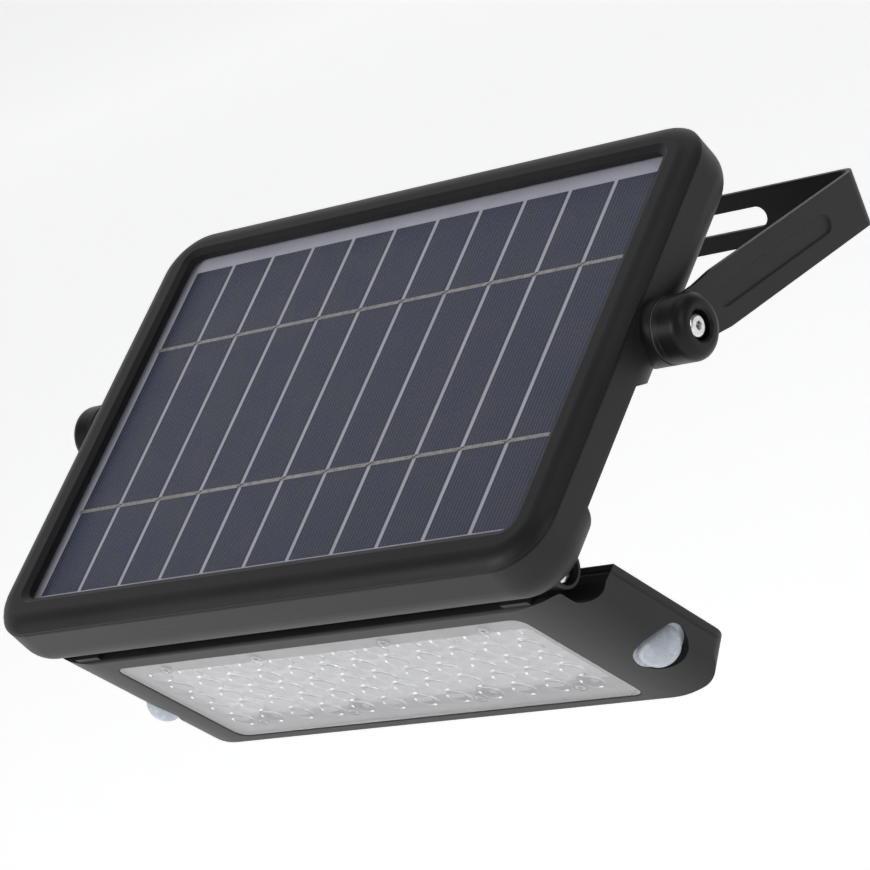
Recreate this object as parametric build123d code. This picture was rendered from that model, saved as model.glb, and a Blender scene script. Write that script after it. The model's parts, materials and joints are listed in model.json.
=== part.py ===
from build123d import *
import math
import os

os.makedirs("parts", exist_ok=True)

# Solar flood light on a wall bracket.  Millimetres.
#
# Row frame: X across the light, +Y into the wall, +Z up.  The origin is the centre of
# the bracket's crossbar on the face that lies against the wall.
# Panel frame: x across, y from the glass towards the back, z up the panel, with the
# origin at the centre of the solar cells.
# Head frame: x across, y along the lens plate away from the hinge, z from the lens
# plate up into the head, with the origin on the lens plate's outer plane.

# ---------------------------------------------------------------- wall bracket
STRAP_WIDTH = 21.2
STRAP_THICK = 2.0
ARM_INNER_X = 140.0          # inner face of each arm, from the middle
ARM_REACH = 129.0            # wall face to tilt axis
BEND_RADIUS = 5.0            # inside of the two bends
EYE_RADIUS = 12.0            # round end of each arm
WAIST_HALF = 9.6             # half width of the arm just behind its round end
WAIST_START = 17.0
WAIST_END = 28.0
BEAD_NEAR = 26.0             # stiffening bead, distances from the tilt axis
BEAD_FAR = 102.0
BEAD_WIDTH = 8.0
BEAD_DEPTH = 0.8
SLOT_WIDTH = 8.0
SLOT_LENGTH = 58.0
SLOT_CENTRE_X = 67.8

# ---------------------------------------------------------------- tilt pivot
TILT_AT_REST = 61.6          # panel leaned back from upright, degrees
PIVOT_Y = 12.5               # tilt axis in the panel frame
PIVOT_Z = 11.5
BOSS_RADIUS = 12.0
BOSS_INNER_X = 118.0
BOSS_FACE_X = 139.0
WASHER_THICK = 0.9
KNOB_RADIUS = 12.0
KNOB_INNER_X = 142.1
KNOB_FACE_X = 152.4
KNOB_EDGE = 4.6
HUB_RADIUS = 6.0
HUB_INNER_X = 131.0
HUB_CLEARANCE = 0.06
SCREW_HEAD_RADIUS = 4.7
SCREW_HEAD_HEIGHT = 2.75
SCREW_RADIUS = 2.5
SCREW_RECESS = 4.2
NUT_ACROSS_FLATS = 8.0
NUT_THICK = 4.0

# ---------------------------------------------------------------- panel casing
CASE_WIDTH = 269.4
CASE_HEIGHT = 194.4
CASE_CORNER = 20.0
SEAM_Y = -1.0                # joint between front bezel and rear housing
BEZEL_FRONT_Y = -5.2
BEZEL_LIP_Y = -3.9
BEZEL_EDGE = 9.0             # rounding from the front face out to the seam
BEZEL_SLOPE_WIDTH = 2.6       # window edge to the bezel's ridge
CASE_BACK_Y = 22.0           # thick upper and lower parts
CASE_BACK_ROUND = 12.5
RECESS_Y = 11.0              # thin middle part, where the folded head lies
RECESS_ROUND = 5.0
RECESS_TOP = (-1.6, -13.2)   # z at the thick part's back, z at the recess floor
RECESS_LOW = (-67.3, -64.3)
NEST_HALF = 130.2            # steeper pocket for the folded head
NEST_TOP = (3.6, 2.2)
WALL = 2.0
WINDOW_WIDTH = 240.0
WINDOW_HEIGHT = 166.2
WINDOW_Z = 0.9
WINDOW_CORNER = 5.0

# screws that join the casing's two shells, as x and z
CASE_SCREWS = [(-118, 91), (118, 91), (0, 91.5), (-126.5, 50), (126.5, 50),
               (-126.5, -40), (126.5, -40), (-75, -91.5), (75, -91.5), (0, -91.5)]
CASE_POST_RADIUS = 4.2
CASE_COUNTERBORE = 3.0
CASE_SCREW_HEAD = 2.7
CASE_SCREW_HOLE = 1.75
SCREW_SEAT_Y = 3.0
SCREW_RADIUS_M3 = 1.4
SCREW_TIP_Y = -3.0

# ---------------------------------------------------------------- battery and control board
CELL_RADIUS = 9.1
CELL_LENGTH = 65.0
CELL_Y = 10.8
CELL_ROWS_Z = (33.5, 52.0, 70.5)
CELL_START_X = -95.0
CRADLE_BACK_Y = 19.9
CONTROL_Y = 12.0
CONTROL_THICK = 1.6
CONTROL_X = (24.0, 98.0)
CONTROL_Z = (30.0, 80.0)
BUTTON_X = 62.0
BUTTON_Z = 52.0
BUTTON_RADIUS = 6.0
BUTTON_GAP = 0.25
BUTTON_PROUD = 1.4
BUTTON_TRAVEL = 0.8
BUTTON_FLANGE = 1.8
SWITCH_HEIGHT = 3.2

# ---------------------------------------------------------------- solar laminate
STRIPS = 11
STRIP_PITCH = 21.5
STRIP_GAP = 2.0
STRIP_HEIGHT = 156.0
CELL_THICK = 0.2
RIBBON_Z = 39.0
RIBBON_WIDTH = 1.6
RIBBON_THICK = 0.1
COVER_THICK = 0.75
SHEET_THICK = 1.2
LAMINATE_MARGIN = 2.3        # laminate beyond the window on each side
LAMINATE_FRONT_Y = -0.9

# ---------------------------------------------------------------- fold hinge
HINGE_Y = 20.7               # fold axis in the panel frame
HINGE_Z = -80.7
ROLL_RADIUS = 7.0            # roll along the casing's lower back edge
ROLL_END_X = 125.0
LUG_IN_X = 99.5              # the head's lugs
LUG_OUT_X = 111.5
LUG_GAP = 0.5
LUG_RADIUS = 6.8
LUG_POCKET = 9.4
PIN_RADIUS = 3.0
PIN_BORE = 1.5
PIN_HEAD_RADIUS = 5.2
PIN_HEAD_X = 120.2
PIN_HEAD_THICK = 2.2
PIN_END_X = 92.0
ROLL_RECESS_RADIUS = 5.9
LEAD_RADIUS = 1.1
# the lead from the control board to the hinge, and on through the left lug into the head
PANEL_LEAD = [(-103.0, HINGE_Y, HINGE_Z), (-84.0, HINGE_Y, HINGE_Z), (-68.0, 12.0, -79.0),
              (-54.0, 5.8, -66.0), (-30.0, 5.2, -30.0), (-2.0, 6.5, 10.0), (10.0, 8.0, 38.0),
              (25.4, 8.5, 44.0)]
LUG_LEAD_X = -106.0

# ---------------------------------------------------------------- lamp head
HEAD_AT_REST = 13.28         # lens plane from square to the panel, degrees
HEAD_HINGE_Y = 1.6           # fold axis in the head frame
HEAD_HINGE_Z = 12.55
HEAD_HALF = 128.8
FLAT_HALF = 103.0            # flat part of the underside
HEAD_NEAR_Y = 2.6
HEAD_FAR_Y = 84.3
HEAD_FAR_TOP_Y = 83.0
END_RISE = 12.0               # height of the rounding at each end
HEAD_TOP_Z = 21.6
HEAD_CORNER = 8.0
FAR_EDGE_ROUND = 1.5
GASKET_FAR_Y = 82.6
COVER_SEAM_Z = 18.1
TONGUE_Z = 4.3               # floor of the channel that clears the casing's roll
CHANNEL_WALL_Y = 17.3
CHANNEL_ROUND = 7.0
CHANNEL_TOP_Y = 19.6
HEAD_WALL = 2.2
CAVITY_NEAR_Y = 19.4
CAVITY_FAR_Y = 72.0
CAVITY_HALF = 95.5
END_CAVITY_X = 103.0
# screws of the rear cover, as x and y
COVER_SCREWS = [(-114, 27), (114, 27), (-106, 73), (106, 73), (0, 75.2), (-55, 75.2), (55, 75.2)]
COVER_POST_RADIUS = 3.6
COVER_SCREW_SEAT = 1.7       # depth of the screw seats below the cover's top
HEAD_LEAD = [(-103.0, HEAD_HINGE_Y, HEAD_HINGE_Z), (LUG_LEAD_X, HEAD_HINGE_Y, HEAD_HINGE_Z),
             (LUG_LEAD_X, 7.0, 7.4), (LUG_LEAD_X, 23.0, 7.4), (-105.0, 32.0, 14.4),
             (-93.0, 37.0, 14.8), (-84.7, 38.0, 12.3)]
HEAD_LEAD_BENDS = [1.9, 3.0, 6.0, 4.0, 4.0]

# ---------------------------------------------------------------- lens and LEDs
LENS_HALF = 100.3
LENS_NEAR_Y = 9.7
LENS_FAR_Y = 79.0
LENS_CORNER = 5.0
LENS_OUTER_Z = 0.3
LENS_THICK = 2.0
LED_COLUMNS = 12
LED_ROWS = 5
LED_PITCH_X = 15.7
LED_PITCH_Y = 11.1
LED_FIRST_Y = 21.0
LED_HALF = 1.4
LED_CHIP_THICK = 0.8
LED_LENS_RADIUS = 4.9
LED_LENS_RISE = 1.5
POST_X = (31.4, 78.5)
POST_Y = (16.0, 68.5)
LENS_SCREW_HEAD = 2.1
REFLECTOR_Z = (2.7, 7.3)
REFLECTOR_HOLE = 4.3
BOARD_Z = 8.4
BOARD_THICK = 1.6

# ---------------------------------------------------------------- motion sensors
DOME_X = 121.3
DOME_Y = 56.5
DOME_Z = 7.95
DOME_RADIUS = 8.0
DOME_SHELL = 1.0
DOME_TURN = 45.0             # axis, out and down from the head, degrees
DOME_POCKET = 9.9
SENSOR_RADIUS = 4.6

SIDES = (-1, 1)

to_row = Pos(0, -ARM_REACH, 0) * Rot(-TILT_AT_REST, 0, 0) * Pos(0, -PIVOT_Y, -PIVOT_Z)
head_in_panel = (
    Pos(0, HINGE_Y, HINGE_Z) * Rot(HEAD_AT_REST, 0, 0) * Pos(0, -HEAD_HINGE_Y, -HEAD_HINGE_Z)
)
head_to_row = to_row * head_in_panel


def save(shape, node, place=None):
    """Write one sub-part, moved from its own frame to the row frame."""
    placed = place * shape if place is not None else shape
    export_step(placed, "parts/" + node + ".step")


def group(shapes, label):
    """Several separate solids that share one node."""
    solids = []
    for shape in shapes:
        solids.extend(shape.solids())
    return Compound(label=label, children=solids)


def rod(radius, x0, x1, y=0.0, z=0.0):
    """Cylinder along X between two stations."""
    low = min(x0, x1)
    plane = Plane(origin=(low, y, z), x_dir=(0, 1, 0), z_dir=(1, 0, 0))
    return extrude(plane * Circle(radius), amount=abs(x1 - x0))


def block(x0, x1, y0, y1, z0, z1):
    """Box between two corners."""
    size = Box(abs(x1 - x0), abs(y1 - y0), abs(z1 - z0))
    return Pos((x0 + x1) / 2, (y0 + y1) / 2, (z0 + z1) / 2) * size


def side_prism(points, x0, x1):
    """Polygon in the y-z plane, extruded along X."""
    outline = Polyline([(x0, y, z) for y, z in points], close=True)
    face = make_face(outline)
    return extrude(face, amount=x1 - x0, dir=(1, 0, 0))


def panel_plate(width, height, corner, y0, y1, z=0.0):
    """Rounded rectangle parallel to the glass, between two depths."""
    plane = Plane(origin=(0, y0, z), x_dir=(1, 0, 0), z_dir=(0, 1, 0))
    return extrude(plane * RectangleRounded(width, height, corner), amount=y1 - y0)


def upright(radius, x, y, z0, z1):
    """Cylinder along Z between two heights."""
    return Pos(x, y, z0) * Cylinder(radius, z1 - z0, align=(Align.CENTER, Align.CENTER, Align.MIN))


def head_plate(half_x, y0, y1, corner, z0, z1):
    """Rounded rectangle parallel to the lens plate, between two heights."""
    plane = Plane(origin=(0, (y0 + y1) / 2, z0))
    return extrude(plane * RectangleRounded(2 * half_x, y1 - y0, corner), amount=z1 - z0)


def tube_along(points, radii, radius):
    """Round lead along straight runs joined by arcs."""
    path = FilletPolyline(points, radius=radii)
    start = Plane(origin=path @ 0, z_dir=path % 0)
    return sweep(start * Circle(radius), path=path)


# ================================================================ wall bracket
def bent_strap():
    outer_x = ARM_INNER_X + STRAP_THICK
    outer = Plane.XY * Rectangle(2 * outer_x, ARM_REACH, align=(Align.CENTER, Align.MAX))
    strap = extrude(outer, amount=STRAP_WIDTH / 2, both=True)
    corners = strap.edges().filter_by(Axis.Z).group_by(Axis.Y)[-1]
    strap = fillet(corners, BEND_RADIUS + STRAP_THICK)
    hollow = block(-ARM_INNER_X, ARM_INNER_X, -ARM_REACH - 1, -STRAP_THICK,
                   -STRAP_WIDTH, STRAP_WIDTH)
    corners = hollow.edges().filter_by(Axis.Z).group_by(Axis.Y)[-1]
    return strap - fillet(corners, BEND_RADIUS)


def arm_outline():
    """Side view of the strap: waist behind the round eye on the tilt axis."""
    half = STRAP_WIDTH / 2
    plane = Plane(origin=(-200, -ARM_REACH, 0), x_dir=(0, 1, 0), z_dir=(1, 0, 0))
    neck = Polyline(
        (0, -WAIST_HALF), (WAIST_START, -WAIST_HALF), (WAIST_END, -half),
        (ARM_REACH + 5, -half), (ARM_REACH + 5, half), (WAIST_END, half),
        (WAIST_START, WAIST_HALF), (0, WAIST_HALF), close=True)
    face = make_face(neck)
    bends = [v for v in face.vertices() if WAIST_START - 1 < v.X < WAIST_END + 1]
    face = fillet(bends, 12)
    eye = Circle(EYE_RADIUS)
    return extrude(plane * (face + eye), amount=400)


def bracket_bead(side):
    """Pressed bead: a groove outside the arm and the matching ridge inside it."""
    mid = (BEAD_NEAR + BEAD_FAR) / 2 - ARM_REACH
    length = BEAD_FAR - BEAD_NEAR
    outer_x = ARM_INNER_X + STRAP_THICK
    groove_plane = Plane(origin=(side * outer_x, mid, 0), x_dir=(0, 1, 0), z_dir=(-side, 0, 0))
    groove = extrude(groove_plane * SlotOverall(length, BEAD_WIDTH), amount=BEAD_DEPTH, taper=45)
    ridge_plane = Plane(origin=(side * ARM_INNER_X, mid, 0), x_dir=(0, 1, 0), z_dir=(-side, 0, 0))
    ridge = extrude(ridge_plane * SlotOverall(length, BEAD_WIDTH), amount=BEAD_DEPTH, taper=45)
    return groove, ridge


def wall_bracket():
    eye_room = block(-ARM_INNER_X - STRAP_THICK, -ARM_INNER_X, -ARM_REACH - EYE_RADIUS,
                     -ARM_REACH + 1, -EYE_RADIUS, EYE_RADIUS)
    strap = bent_strap() + eye_room + mirror(eye_room, about=Plane.YZ)
    strap = strap & arm_outline()
    for side in SIDES:
        eye_hole = rod(HUB_RADIUS + HUB_CLEARANCE, side * (ARM_INNER_X - 1),
                       side * (ARM_INNER_X + STRAP_THICK + 1), -ARM_REACH, 0)
        groove, ridge = bracket_bead(side)
        strap = strap - eye_hole - groove + ridge
        slot_plane = Plane(origin=(side * SLOT_CENTRE_X, 1, 0), x_dir=(1, 0, 0), z_dir=(0, -1, 0))
        strap = strap - extrude(slot_plane * SlotOverall(SLOT_LENGTH, SLOT_WIDTH), amount=6)
    return strap


save(wall_bracket(), "wall_bracket")


# ================================================================ rear housing
def case_form(inset, front_y):
    """Outside of the panel casing, or the hollow inside it when inset by the wall."""
    width = CASE_WIDTH - 2 * inset
    height = CASE_HEIGHT - 2 * inset
    corner = CASE_CORNER - inset
    full = panel_plate(width, height, corner, front_y, CASE_BACK_Y - inset)
    back = full.edges().group_by(Axis.Y)[-1]
    full = fillet(back, CASE_BACK_ROUND - inset)
    tray = panel_plate(width, height, corner, front_y, RECESS_Y - inset)
    tray = fillet(tray.edges().group_by(Axis.Y)[-1], RECESS_ROUND - inset)
    floor_y = RECESS_Y - inset
    recess = side_prism(
        [(floor_y, RECESS_TOP[1] + inset), (CASE_BACK_Y + 3, recess_line(RECESS_TOP, inset)),
         (CASE_BACK_Y + 3, recess_line(RECESS_LOW, -inset)), (floor_y, RECESS_LOW[1] - inset)],
        -CASE_WIDTH, CASE_WIDTH)
    nest_line = NEST_TOP[1] + (NEST_TOP[0] - NEST_TOP[1]) * (CASE_BACK_Y + 3 - RECESS_Y) / (
        CASE_BACK_Y - RECESS_Y)
    nest_half = NEST_HALF + inset
    nest = side_prism(
        [(floor_y, NEST_TOP[1] + inset), (CASE_BACK_Y + 3, nest_line + inset),
         (CASE_BACK_Y + 3, RECESS_TOP[1] - 5), (floor_y, RECESS_TOP[1] - 5)],
        -nest_half, nest_half)
    thin = tray & full
    return (full - recess - nest) + thin


def recess_line(ends, inset):
    """Where a recess wall reaches 3 mm behind the casing's back."""
    slope = (ends[0] - ends[1]) / (CASE_BACK_Y - RECESS_Y)
    return ends[0] + slope * 3 + inset


def case_back_at(z):
    """Depth of the casing's back at a height, before its edges are rounded."""
    if RECESS_LOW[1] < z < RECESS_TOP[1]:
        return RECESS_Y
    return CASE_BACK_Y


def depth_rod(radius, x, z, y0, y1):
    """Cylinder square to the glass."""
    plane = Plane(origin=(x, y0, z), x_dir=(1, 0, 0), z_dir=(0, 1, 0))
    return extrude(plane * Circle(radius), amount=y1 - y0)


def rear_housing():
    outer = case_form(0, SEAM_Y)
    hollow = case_form(WALL, SEAM_Y - 1)
    shell = outer - hollow
    rim_out = WINDOW_WIDTH + 2 * LAMINATE_MARGIN + 4.4
    rim_high = WINDOW_HEIGHT + 2 * LAMINATE_MARGIN + 4.4
    seat_y = LAMINATE_FRONT_Y + COVER_THICK + RIBBON_THICK + CELL_THICK + SHEET_THICK
    ledge = panel_plate(rim_out, rim_high, 7, seat_y, CASE_BACK_Y, WINDOW_Z)
    ledge = ledge - panel_plate(rim_out - 8, rim_high - 8, 5, seat_y - 1, CASE_BACK_Y + 1, WINDOW_Z)
    shell = shell + (ledge & outer)
    laminate_room = panel_plate(rim_out - 4.0, rim_high - 4.0, 4.5, SEAM_Y - 1, seat_y, WINDOW_Z)
    roll = rod(ROLL_RADIUS, -ROLL_END_X, ROLL_END_X, HINGE_Y, HINGE_Z)
    roll_hollow = rod(ROLL_RADIUS - WALL, -PIN_END_X + 1, PIN_END_X - 1, HINGE_Y, HINGE_Z)
    solid_end = rod(ROLL_RADIUS, PIN_END_X - 2, ROLL_END_X, HINGE_Y, HINGE_Z)
    shell = shell + (roll - hollow) + solid_end + mirror(solid_end, about=Plane.YZ) - roll_hollow
    for side in SIDES:
        boss = rod(BOSS_RADIUS, side * NEST_HALF, side * BOSS_FACE_X, PIVOT_Y, PIVOT_Z)
        inner = rod(BOSS_RADIUS, side * BOSS_INNER_X, side * (NEST_HALF + 1), PIVOT_Y, PIVOT_Z) & outer
        shell = shell + boss + inner
        shell = shell - rod(HUB_RADIUS + HUB_CLEARANCE, side * HUB_INNER_X, side * 150,
                            PIVOT_Y, PIVOT_Z)
        shell = shell - rod(SCREW_RADIUS + 0.2, side * 110, side * 150, PIVOT_Y, PIVOT_Z)
        shell = shell - nut_prism(side, NUT_ACROSS_FLATS / 2 + 0.15, BOSS_INNER_X - 1, NUT_THICK + 1)
        lug_room = rod(LUG_POCKET, side * (LUG_IN_X - LUG_GAP), side * (LUG_OUT_X + LUG_GAP),
                       HINGE_Y, HINGE_Z)
        cheek_lo = LUG_IN_X - LUG_GAP - WALL
        cheek_hi = LUG_OUT_X + LUG_GAP + WALL
        lining = rod(LUG_POCKET + WALL, side * cheek_lo, side * cheek_hi, HINGE_Y, HINGE_Z) & outer
        shell = shell + lining - lug_room
        shell = shell - rod(PIN_RADIUS, side * (PIN_END_X - 5), side * (PIN_HEAD_X + 1),
                            HINGE_Y, HINGE_Z)
        shell = shell - rod(ROLL_RECESS_RADIUS, side * PIN_HEAD_X, side * (ROLL_END_X + 1),
                            HINGE_Y, HINGE_Z)
    for x, z in CASE_SCREWS:
        back = case_back_at(z)
        shell = shell + (depth_rod(CASE_POST_RADIUS, x, z, 0.6, back) & outer)
        shell = shell - depth_rod(CASE_COUNTERBORE, x, z, SCREW_SEAT_Y, back + 2)
        shell = shell - depth_rod(CASE_SCREW_HOLE, x, z, 0, back)
    for x in CONTROL_X:
        for z in CONTROL_Z:
            px = x + math.copysign(4, 61 - x)
            pz = z + math.copysign(4, 55 - z)
            shell = shell + depth_rod(3.0, px, pz, CONTROL_Y + CONTROL_THICK, CASE_BACK_Y - WALL + 0.2)
    shell = shell - depth_rod(BUTTON_RADIUS + BUTTON_GAP, BUTTON_X, BUTTON_Z, 15, 30)
    return shell - laminate_room


def nut_prism(side, half_flats, x0, thick):
    """Hexagon on the tilt axis."""
    plane = Plane(origin=(side * x0, PIVOT_Y, PIVOT_Z), x_dir=(0, 1, 0), z_dir=(side, 0, 0))
    across = half_flats / math.cos(math.radians(30))
    return extrude(plane * RegularPolygon(across, 6), amount=thick)


save(rear_housing(), "rear_housing", to_row)


# ================================================================ front bezel
def front_bezel():
    below_arc = BEZEL_EDGE - (SEAM_Y - BEZEL_FRONT_Y)
    spread = BEZEL_EDGE - math.sqrt(BEZEL_EDGE ** 2 - below_arc ** 2)
    body = panel_plate(CASE_WIDTH + 2 * spread, CASE_HEIGHT + 2 * spread, CASE_CORNER + spread,
                       BEZEL_FRONT_Y, BEZEL_FRONT_Y + BEZEL_EDGE + 2)
    front = body.edges().group_by(Axis.Y)[0]
    body = fillet(front, BEZEL_EDGE)
    body = body & block(-CASE_WIDTH, CASE_WIDTH, BEZEL_FRONT_Y - 1, SEAM_Y, -CASE_WIDTH, CASE_WIDTH)
    skirt_in = CASE_WIDTH - 2 * WALL - 0.6
    skirt_high = CASE_HEIGHT - 2 * WALL - 0.6
    skirt = panel_plate(skirt_in, skirt_high, CASE_CORNER - WALL - 0.3, SEAM_Y, SEAM_Y + 1.4)
    skirt = skirt - panel_plate(skirt_in - 3.2, skirt_high - 3.2, CASE_CORNER - WALL - 1.9,
                                SEAM_Y - 1, SEAM_Y + 3)
    rebate = panel_plate(WINDOW_WIDTH + 2 * LAMINATE_MARGIN + 0.6,
                         WINDOW_HEIGHT + 2 * LAMINATE_MARGIN + 0.6, WINDOW_CORNER,
                         LAMINATE_FRONT_Y - 0.6, 1, WINDOW_Z)
    body = body + skirt - rebate
    narrow = window_face(0, BEZEL_LIP_Y)
    wide = window_face(BEZEL_SLOPE_WIDTH, BEZEL_FRONT_Y)
    slope = loft([narrow, wide])
    through = panel_plate(WINDOW_WIDTH, WINDOW_HEIGHT, WINDOW_CORNER, BEZEL_FRONT_Y - 1, 1, WINDOW_Z)
    body = body - slope - through
    for x, z in CASE_SCREWS:
        body = body + depth_rod(3.2, x, z, SEAM_Y - 1, 0.5)
        body = body - depth_rod(SCREW_RADIUS_M3 - 0.1, x, z, SCREW_TIP_Y - 0.4, 1)
    return body


def window_face(grow, y):
    plane = Plane(origin=(0, y, WINDOW_Z), x_dir=(1, 0, 0), z_dir=(0, 1, 0))
    shape = RectangleRounded(WINDOW_WIDTH + 2 * grow, WINDOW_HEIGHT + 2 * grow, WINDOW_CORNER + grow * 0.8)
    return plane * shape


save(front_bezel(), "front_bezel", to_row)


# ================================================================ solar laminate
laminate_w = WINDOW_WIDTH + 2 * LAMINATE_MARGIN
laminate_h = WINDOW_HEIGHT + 2 * LAMINATE_MARGIN
cover_back_y = LAMINATE_FRONT_Y + COVER_THICK
cell_front_y = cover_back_y + RIBBON_THICK
cell_back_y = cell_front_y + CELL_THICK


def solar_cover():
    return panel_plate(laminate_w, laminate_h, 4, LAMINATE_FRONT_Y, cover_back_y, WINDOW_Z)


def solar_cells():
    strips = []
    for i in range(STRIPS):
        x = (i - (STRIPS - 1) / 2) * STRIP_PITCH
        half = (STRIP_PITCH - STRIP_GAP) / 2
        strips.append(block(x - half, x + half, cell_front_y, cell_back_y,
                            -STRIP_HEIGHT / 2, STRIP_HEIGHT / 2))
    return group(strips, "solar_cells")


def cell_ribbons():
    half = STRIPS * STRIP_PITCH / 2
    ribbons = []
    for side in SIDES:
        z = side * RIBBON_Z
        ribbons.append(block(-half, half, cover_back_y, cell_front_y,
                             z - RIBBON_WIDTH / 2, z + RIBBON_WIDTH / 2))
    return group(ribbons, "cell_ribbons")


def backing_sheet():
    return panel_plate(laminate_w, laminate_h, 4, cell_back_y, cell_back_y + SHEET_THICK, WINDOW_Z)


def window_gasket():
    outer = panel_plate(laminate_w - 0.4, laminate_h - 0.4, 4, LAMINATE_FRONT_Y - 0.6,
                        LAMINATE_FRONT_Y, WINDOW_Z)
    return outer - panel_plate(WINDOW_WIDTH + 0.6, WINDOW_HEIGHT + 0.6, WINDOW_CORNER, -3, 1, WINDOW_Z)


save(solar_cover(), "solar_cover", to_row)
save(solar_cells(), "solar_cells", to_row)
save(cell_ribbons(), "cell_ribbons", to_row)
save(backing_sheet(), "backing_sheet", to_row)
save(window_gasket(), "window_gasket", to_row)


# ================================================================ casing screws
def pan_screw(x, z):
    """Self-tapping screw from the back, with a cross recess."""
    shank = depth_rod(SCREW_RADIUS_M3, x, z, SCREW_TIP_Y, SCREW_SEAT_Y)
    head = depth_rod(CASE_SCREW_HEAD, x, z, SCREW_SEAT_Y, SCREW_SEAT_Y + 2.0)
    head = fillet(head.edges().group_by(Axis.Y)[-1], 1.0)
    cross = block(x - 1.5, x + 1.5, SCREW_SEAT_Y + 0.9, SCREW_SEAT_Y + 3, z - 0.3, z + 0.3)
    cross = cross + block(x - 0.3, x + 0.3, SCREW_SEAT_Y + 0.9, SCREW_SEAT_Y + 3, z - 1.5, z + 1.5)
    return (head - cross) + shank


save(group([pan_screw(x, z) for x, z in CASE_SCREWS], "housing_screws"),
     "housing_screws", to_row)


# ================================================================ battery
def battery_cells():
    cells = []
    for z in CELL_ROWS_Z:
        can = rod(CELL_RADIUS, CELL_START_X, CELL_START_X + CELL_LENGTH - 1.5, CELL_Y, z)
        can = fillet(can.edges(), 0.8)
        button = rod(2.8, CELL_START_X + CELL_LENGTH - 2, CELL_START_X + CELL_LENGTH, CELL_Y, z)
        cells.append(can + button)
    return group(cells, "battery_cells")


def battery_cradle():
    x0 = CELL_START_X - 4
    x1 = CELL_START_X + CELL_LENGTH + 4
    z0 = CELL_ROWS_Z[0] - CELL_RADIUS - 2.2
    z1 = CELL_ROWS_Z[-1] + CELL_RADIUS + 1.5
    cradle = block(x0, x1, CELL_Y + 1, CRADLE_BACK_Y, z0, z1)
    for z in CELL_ROWS_Z:
        cradle = cradle - rod(CELL_RADIUS + 0.2, CELL_START_X - 0.9, CELL_START_X + CELL_LENGTH + 0.9,
                              CELL_Y, z)
    return cradle


def battery_tabs():
    """Nickel strips welded across the ends of the three cells."""
    low = CELL_ROWS_Z[0] - 4
    high = CELL_ROWS_Z[-1] + 4
    x0 = CELL_START_X
    x1 = CELL_START_X + CELL_LENGTH
    tabs = [block(x0 - 0.2, x0, CELL_Y - 3, CELL_Y + 0.8, low, high),
            block(x1, x1 + 0.2, CELL_Y - 3, CELL_Y + 0.8, low, high)]
    return group(tabs, "battery_tabs")


save(battery_cells(), "battery_cells", to_row)
save(battery_cradle(), "battery_cradle", to_row)
save(battery_tabs(), "battery_tabs", to_row)


# ================================================================ control board and button
def control_board():
    board = block(CONTROL_X[0], CONTROL_X[1], CONTROL_Y, CONTROL_Y + CONTROL_THICK,
                  CONTROL_Z[0], CONTROL_Z[1])
    corners = board.edges().filter_by(Axis.Y)
    return fillet(corners, 2)


def board_parts():
    y = CONTROL_Y
    parts = [
        block(34, 42, y - 1.6, y, 38, 46),
        block(50, 56, y - 1.5, y, 60, 66),
        depth_rod(5.0, 78, 66, y - 8.0, y),
        depth_rod(3.2, 88, 44, y - 7.0, y),
        block(64, 74, y - 4.5, y, 34, 42),
        block(26, 33, y - 5.5, y, 60, 74),
        block(26, 33, y - 5.5, y, 40, 52),
    ]
    return group(parts, "board_parts")


def button_switch():
    base = CONTROL_Y + CONTROL_THICK
    body = block(BUTTON_X - 3, BUTTON_X + 3, base, base + 2.6, BUTTON_Z - 3, BUTTON_Z + 3)
    return body + depth_rod(1.7, BUTTON_X, BUTTON_Z, base + 2, base + SWITCH_HEIGHT)


def mode_button():
    """Moulded silicone button with a flange that keeps it behind the wall."""
    wall_in = CASE_BACK_Y - WALL
    cap = depth_rod(BUTTON_RADIUS, BUTTON_X, BUTTON_Z, wall_in - 1.4, CASE_BACK_Y + BUTTON_PROUD)
    cap = fillet(cap.edges().group_by(Axis.Y)[-1], 1.1)
    flange = depth_rod(BUTTON_RADIUS + BUTTON_FLANGE, BUTTON_X, BUTTON_Z, wall_in - 1.4, wall_in - 0.1)
    switch_top = CONTROL_Y + CONTROL_THICK + SWITCH_HEIGHT
    stem = depth_rod(1.6, BUTTON_X, BUTTON_Z, switch_top + BUTTON_TRAVEL + 0.1, wall_in - 1)
    return cap + flange + stem


save(control_board(), "control_board", to_row)
save(board_parts(), "board_parts", to_row)
save(button_switch(), "button_switch", to_row)
save(mode_button(), "mode_button", to_row)


# ================================================================ tilt knobs and their screws
def tilt_knob(side):
    knob = rod(KNOB_RADIUS, side * KNOB_INNER_X, side * KNOB_FACE_X, PIVOT_Y, PIVOT_Z)
    outer_edge = knob.edges().group_by(Axis.X)[-1 if side > 0 else 0]
    knob = fillet(outer_edge, KNOB_EDGE)
    knob = knob + rod(HUB_RADIUS, side * HUB_INNER_X, side * (KNOB_INNER_X + 1), PIVOT_Y, PIVOT_Z)
    recess_x = KNOB_FACE_X - SCREW_RECESS
    knob = knob - rod(5.5, side * recess_x, side * (KNOB_FACE_X + 1), PIVOT_Y, PIVOT_Z)
    rim = [e for e in knob.edges().filter_by(GeomType.CIRCLE)
           if abs(e.radius - 5.5) < 0.01 and abs(abs(e.center().X) - KNOB_FACE_X) < 0.01]
    knob = chamfer(rim, 0.8)
    return knob - rod(SCREW_RADIUS + 0.2, side * 120, side * 160, PIVOT_Y, PIVOT_Z)


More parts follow.
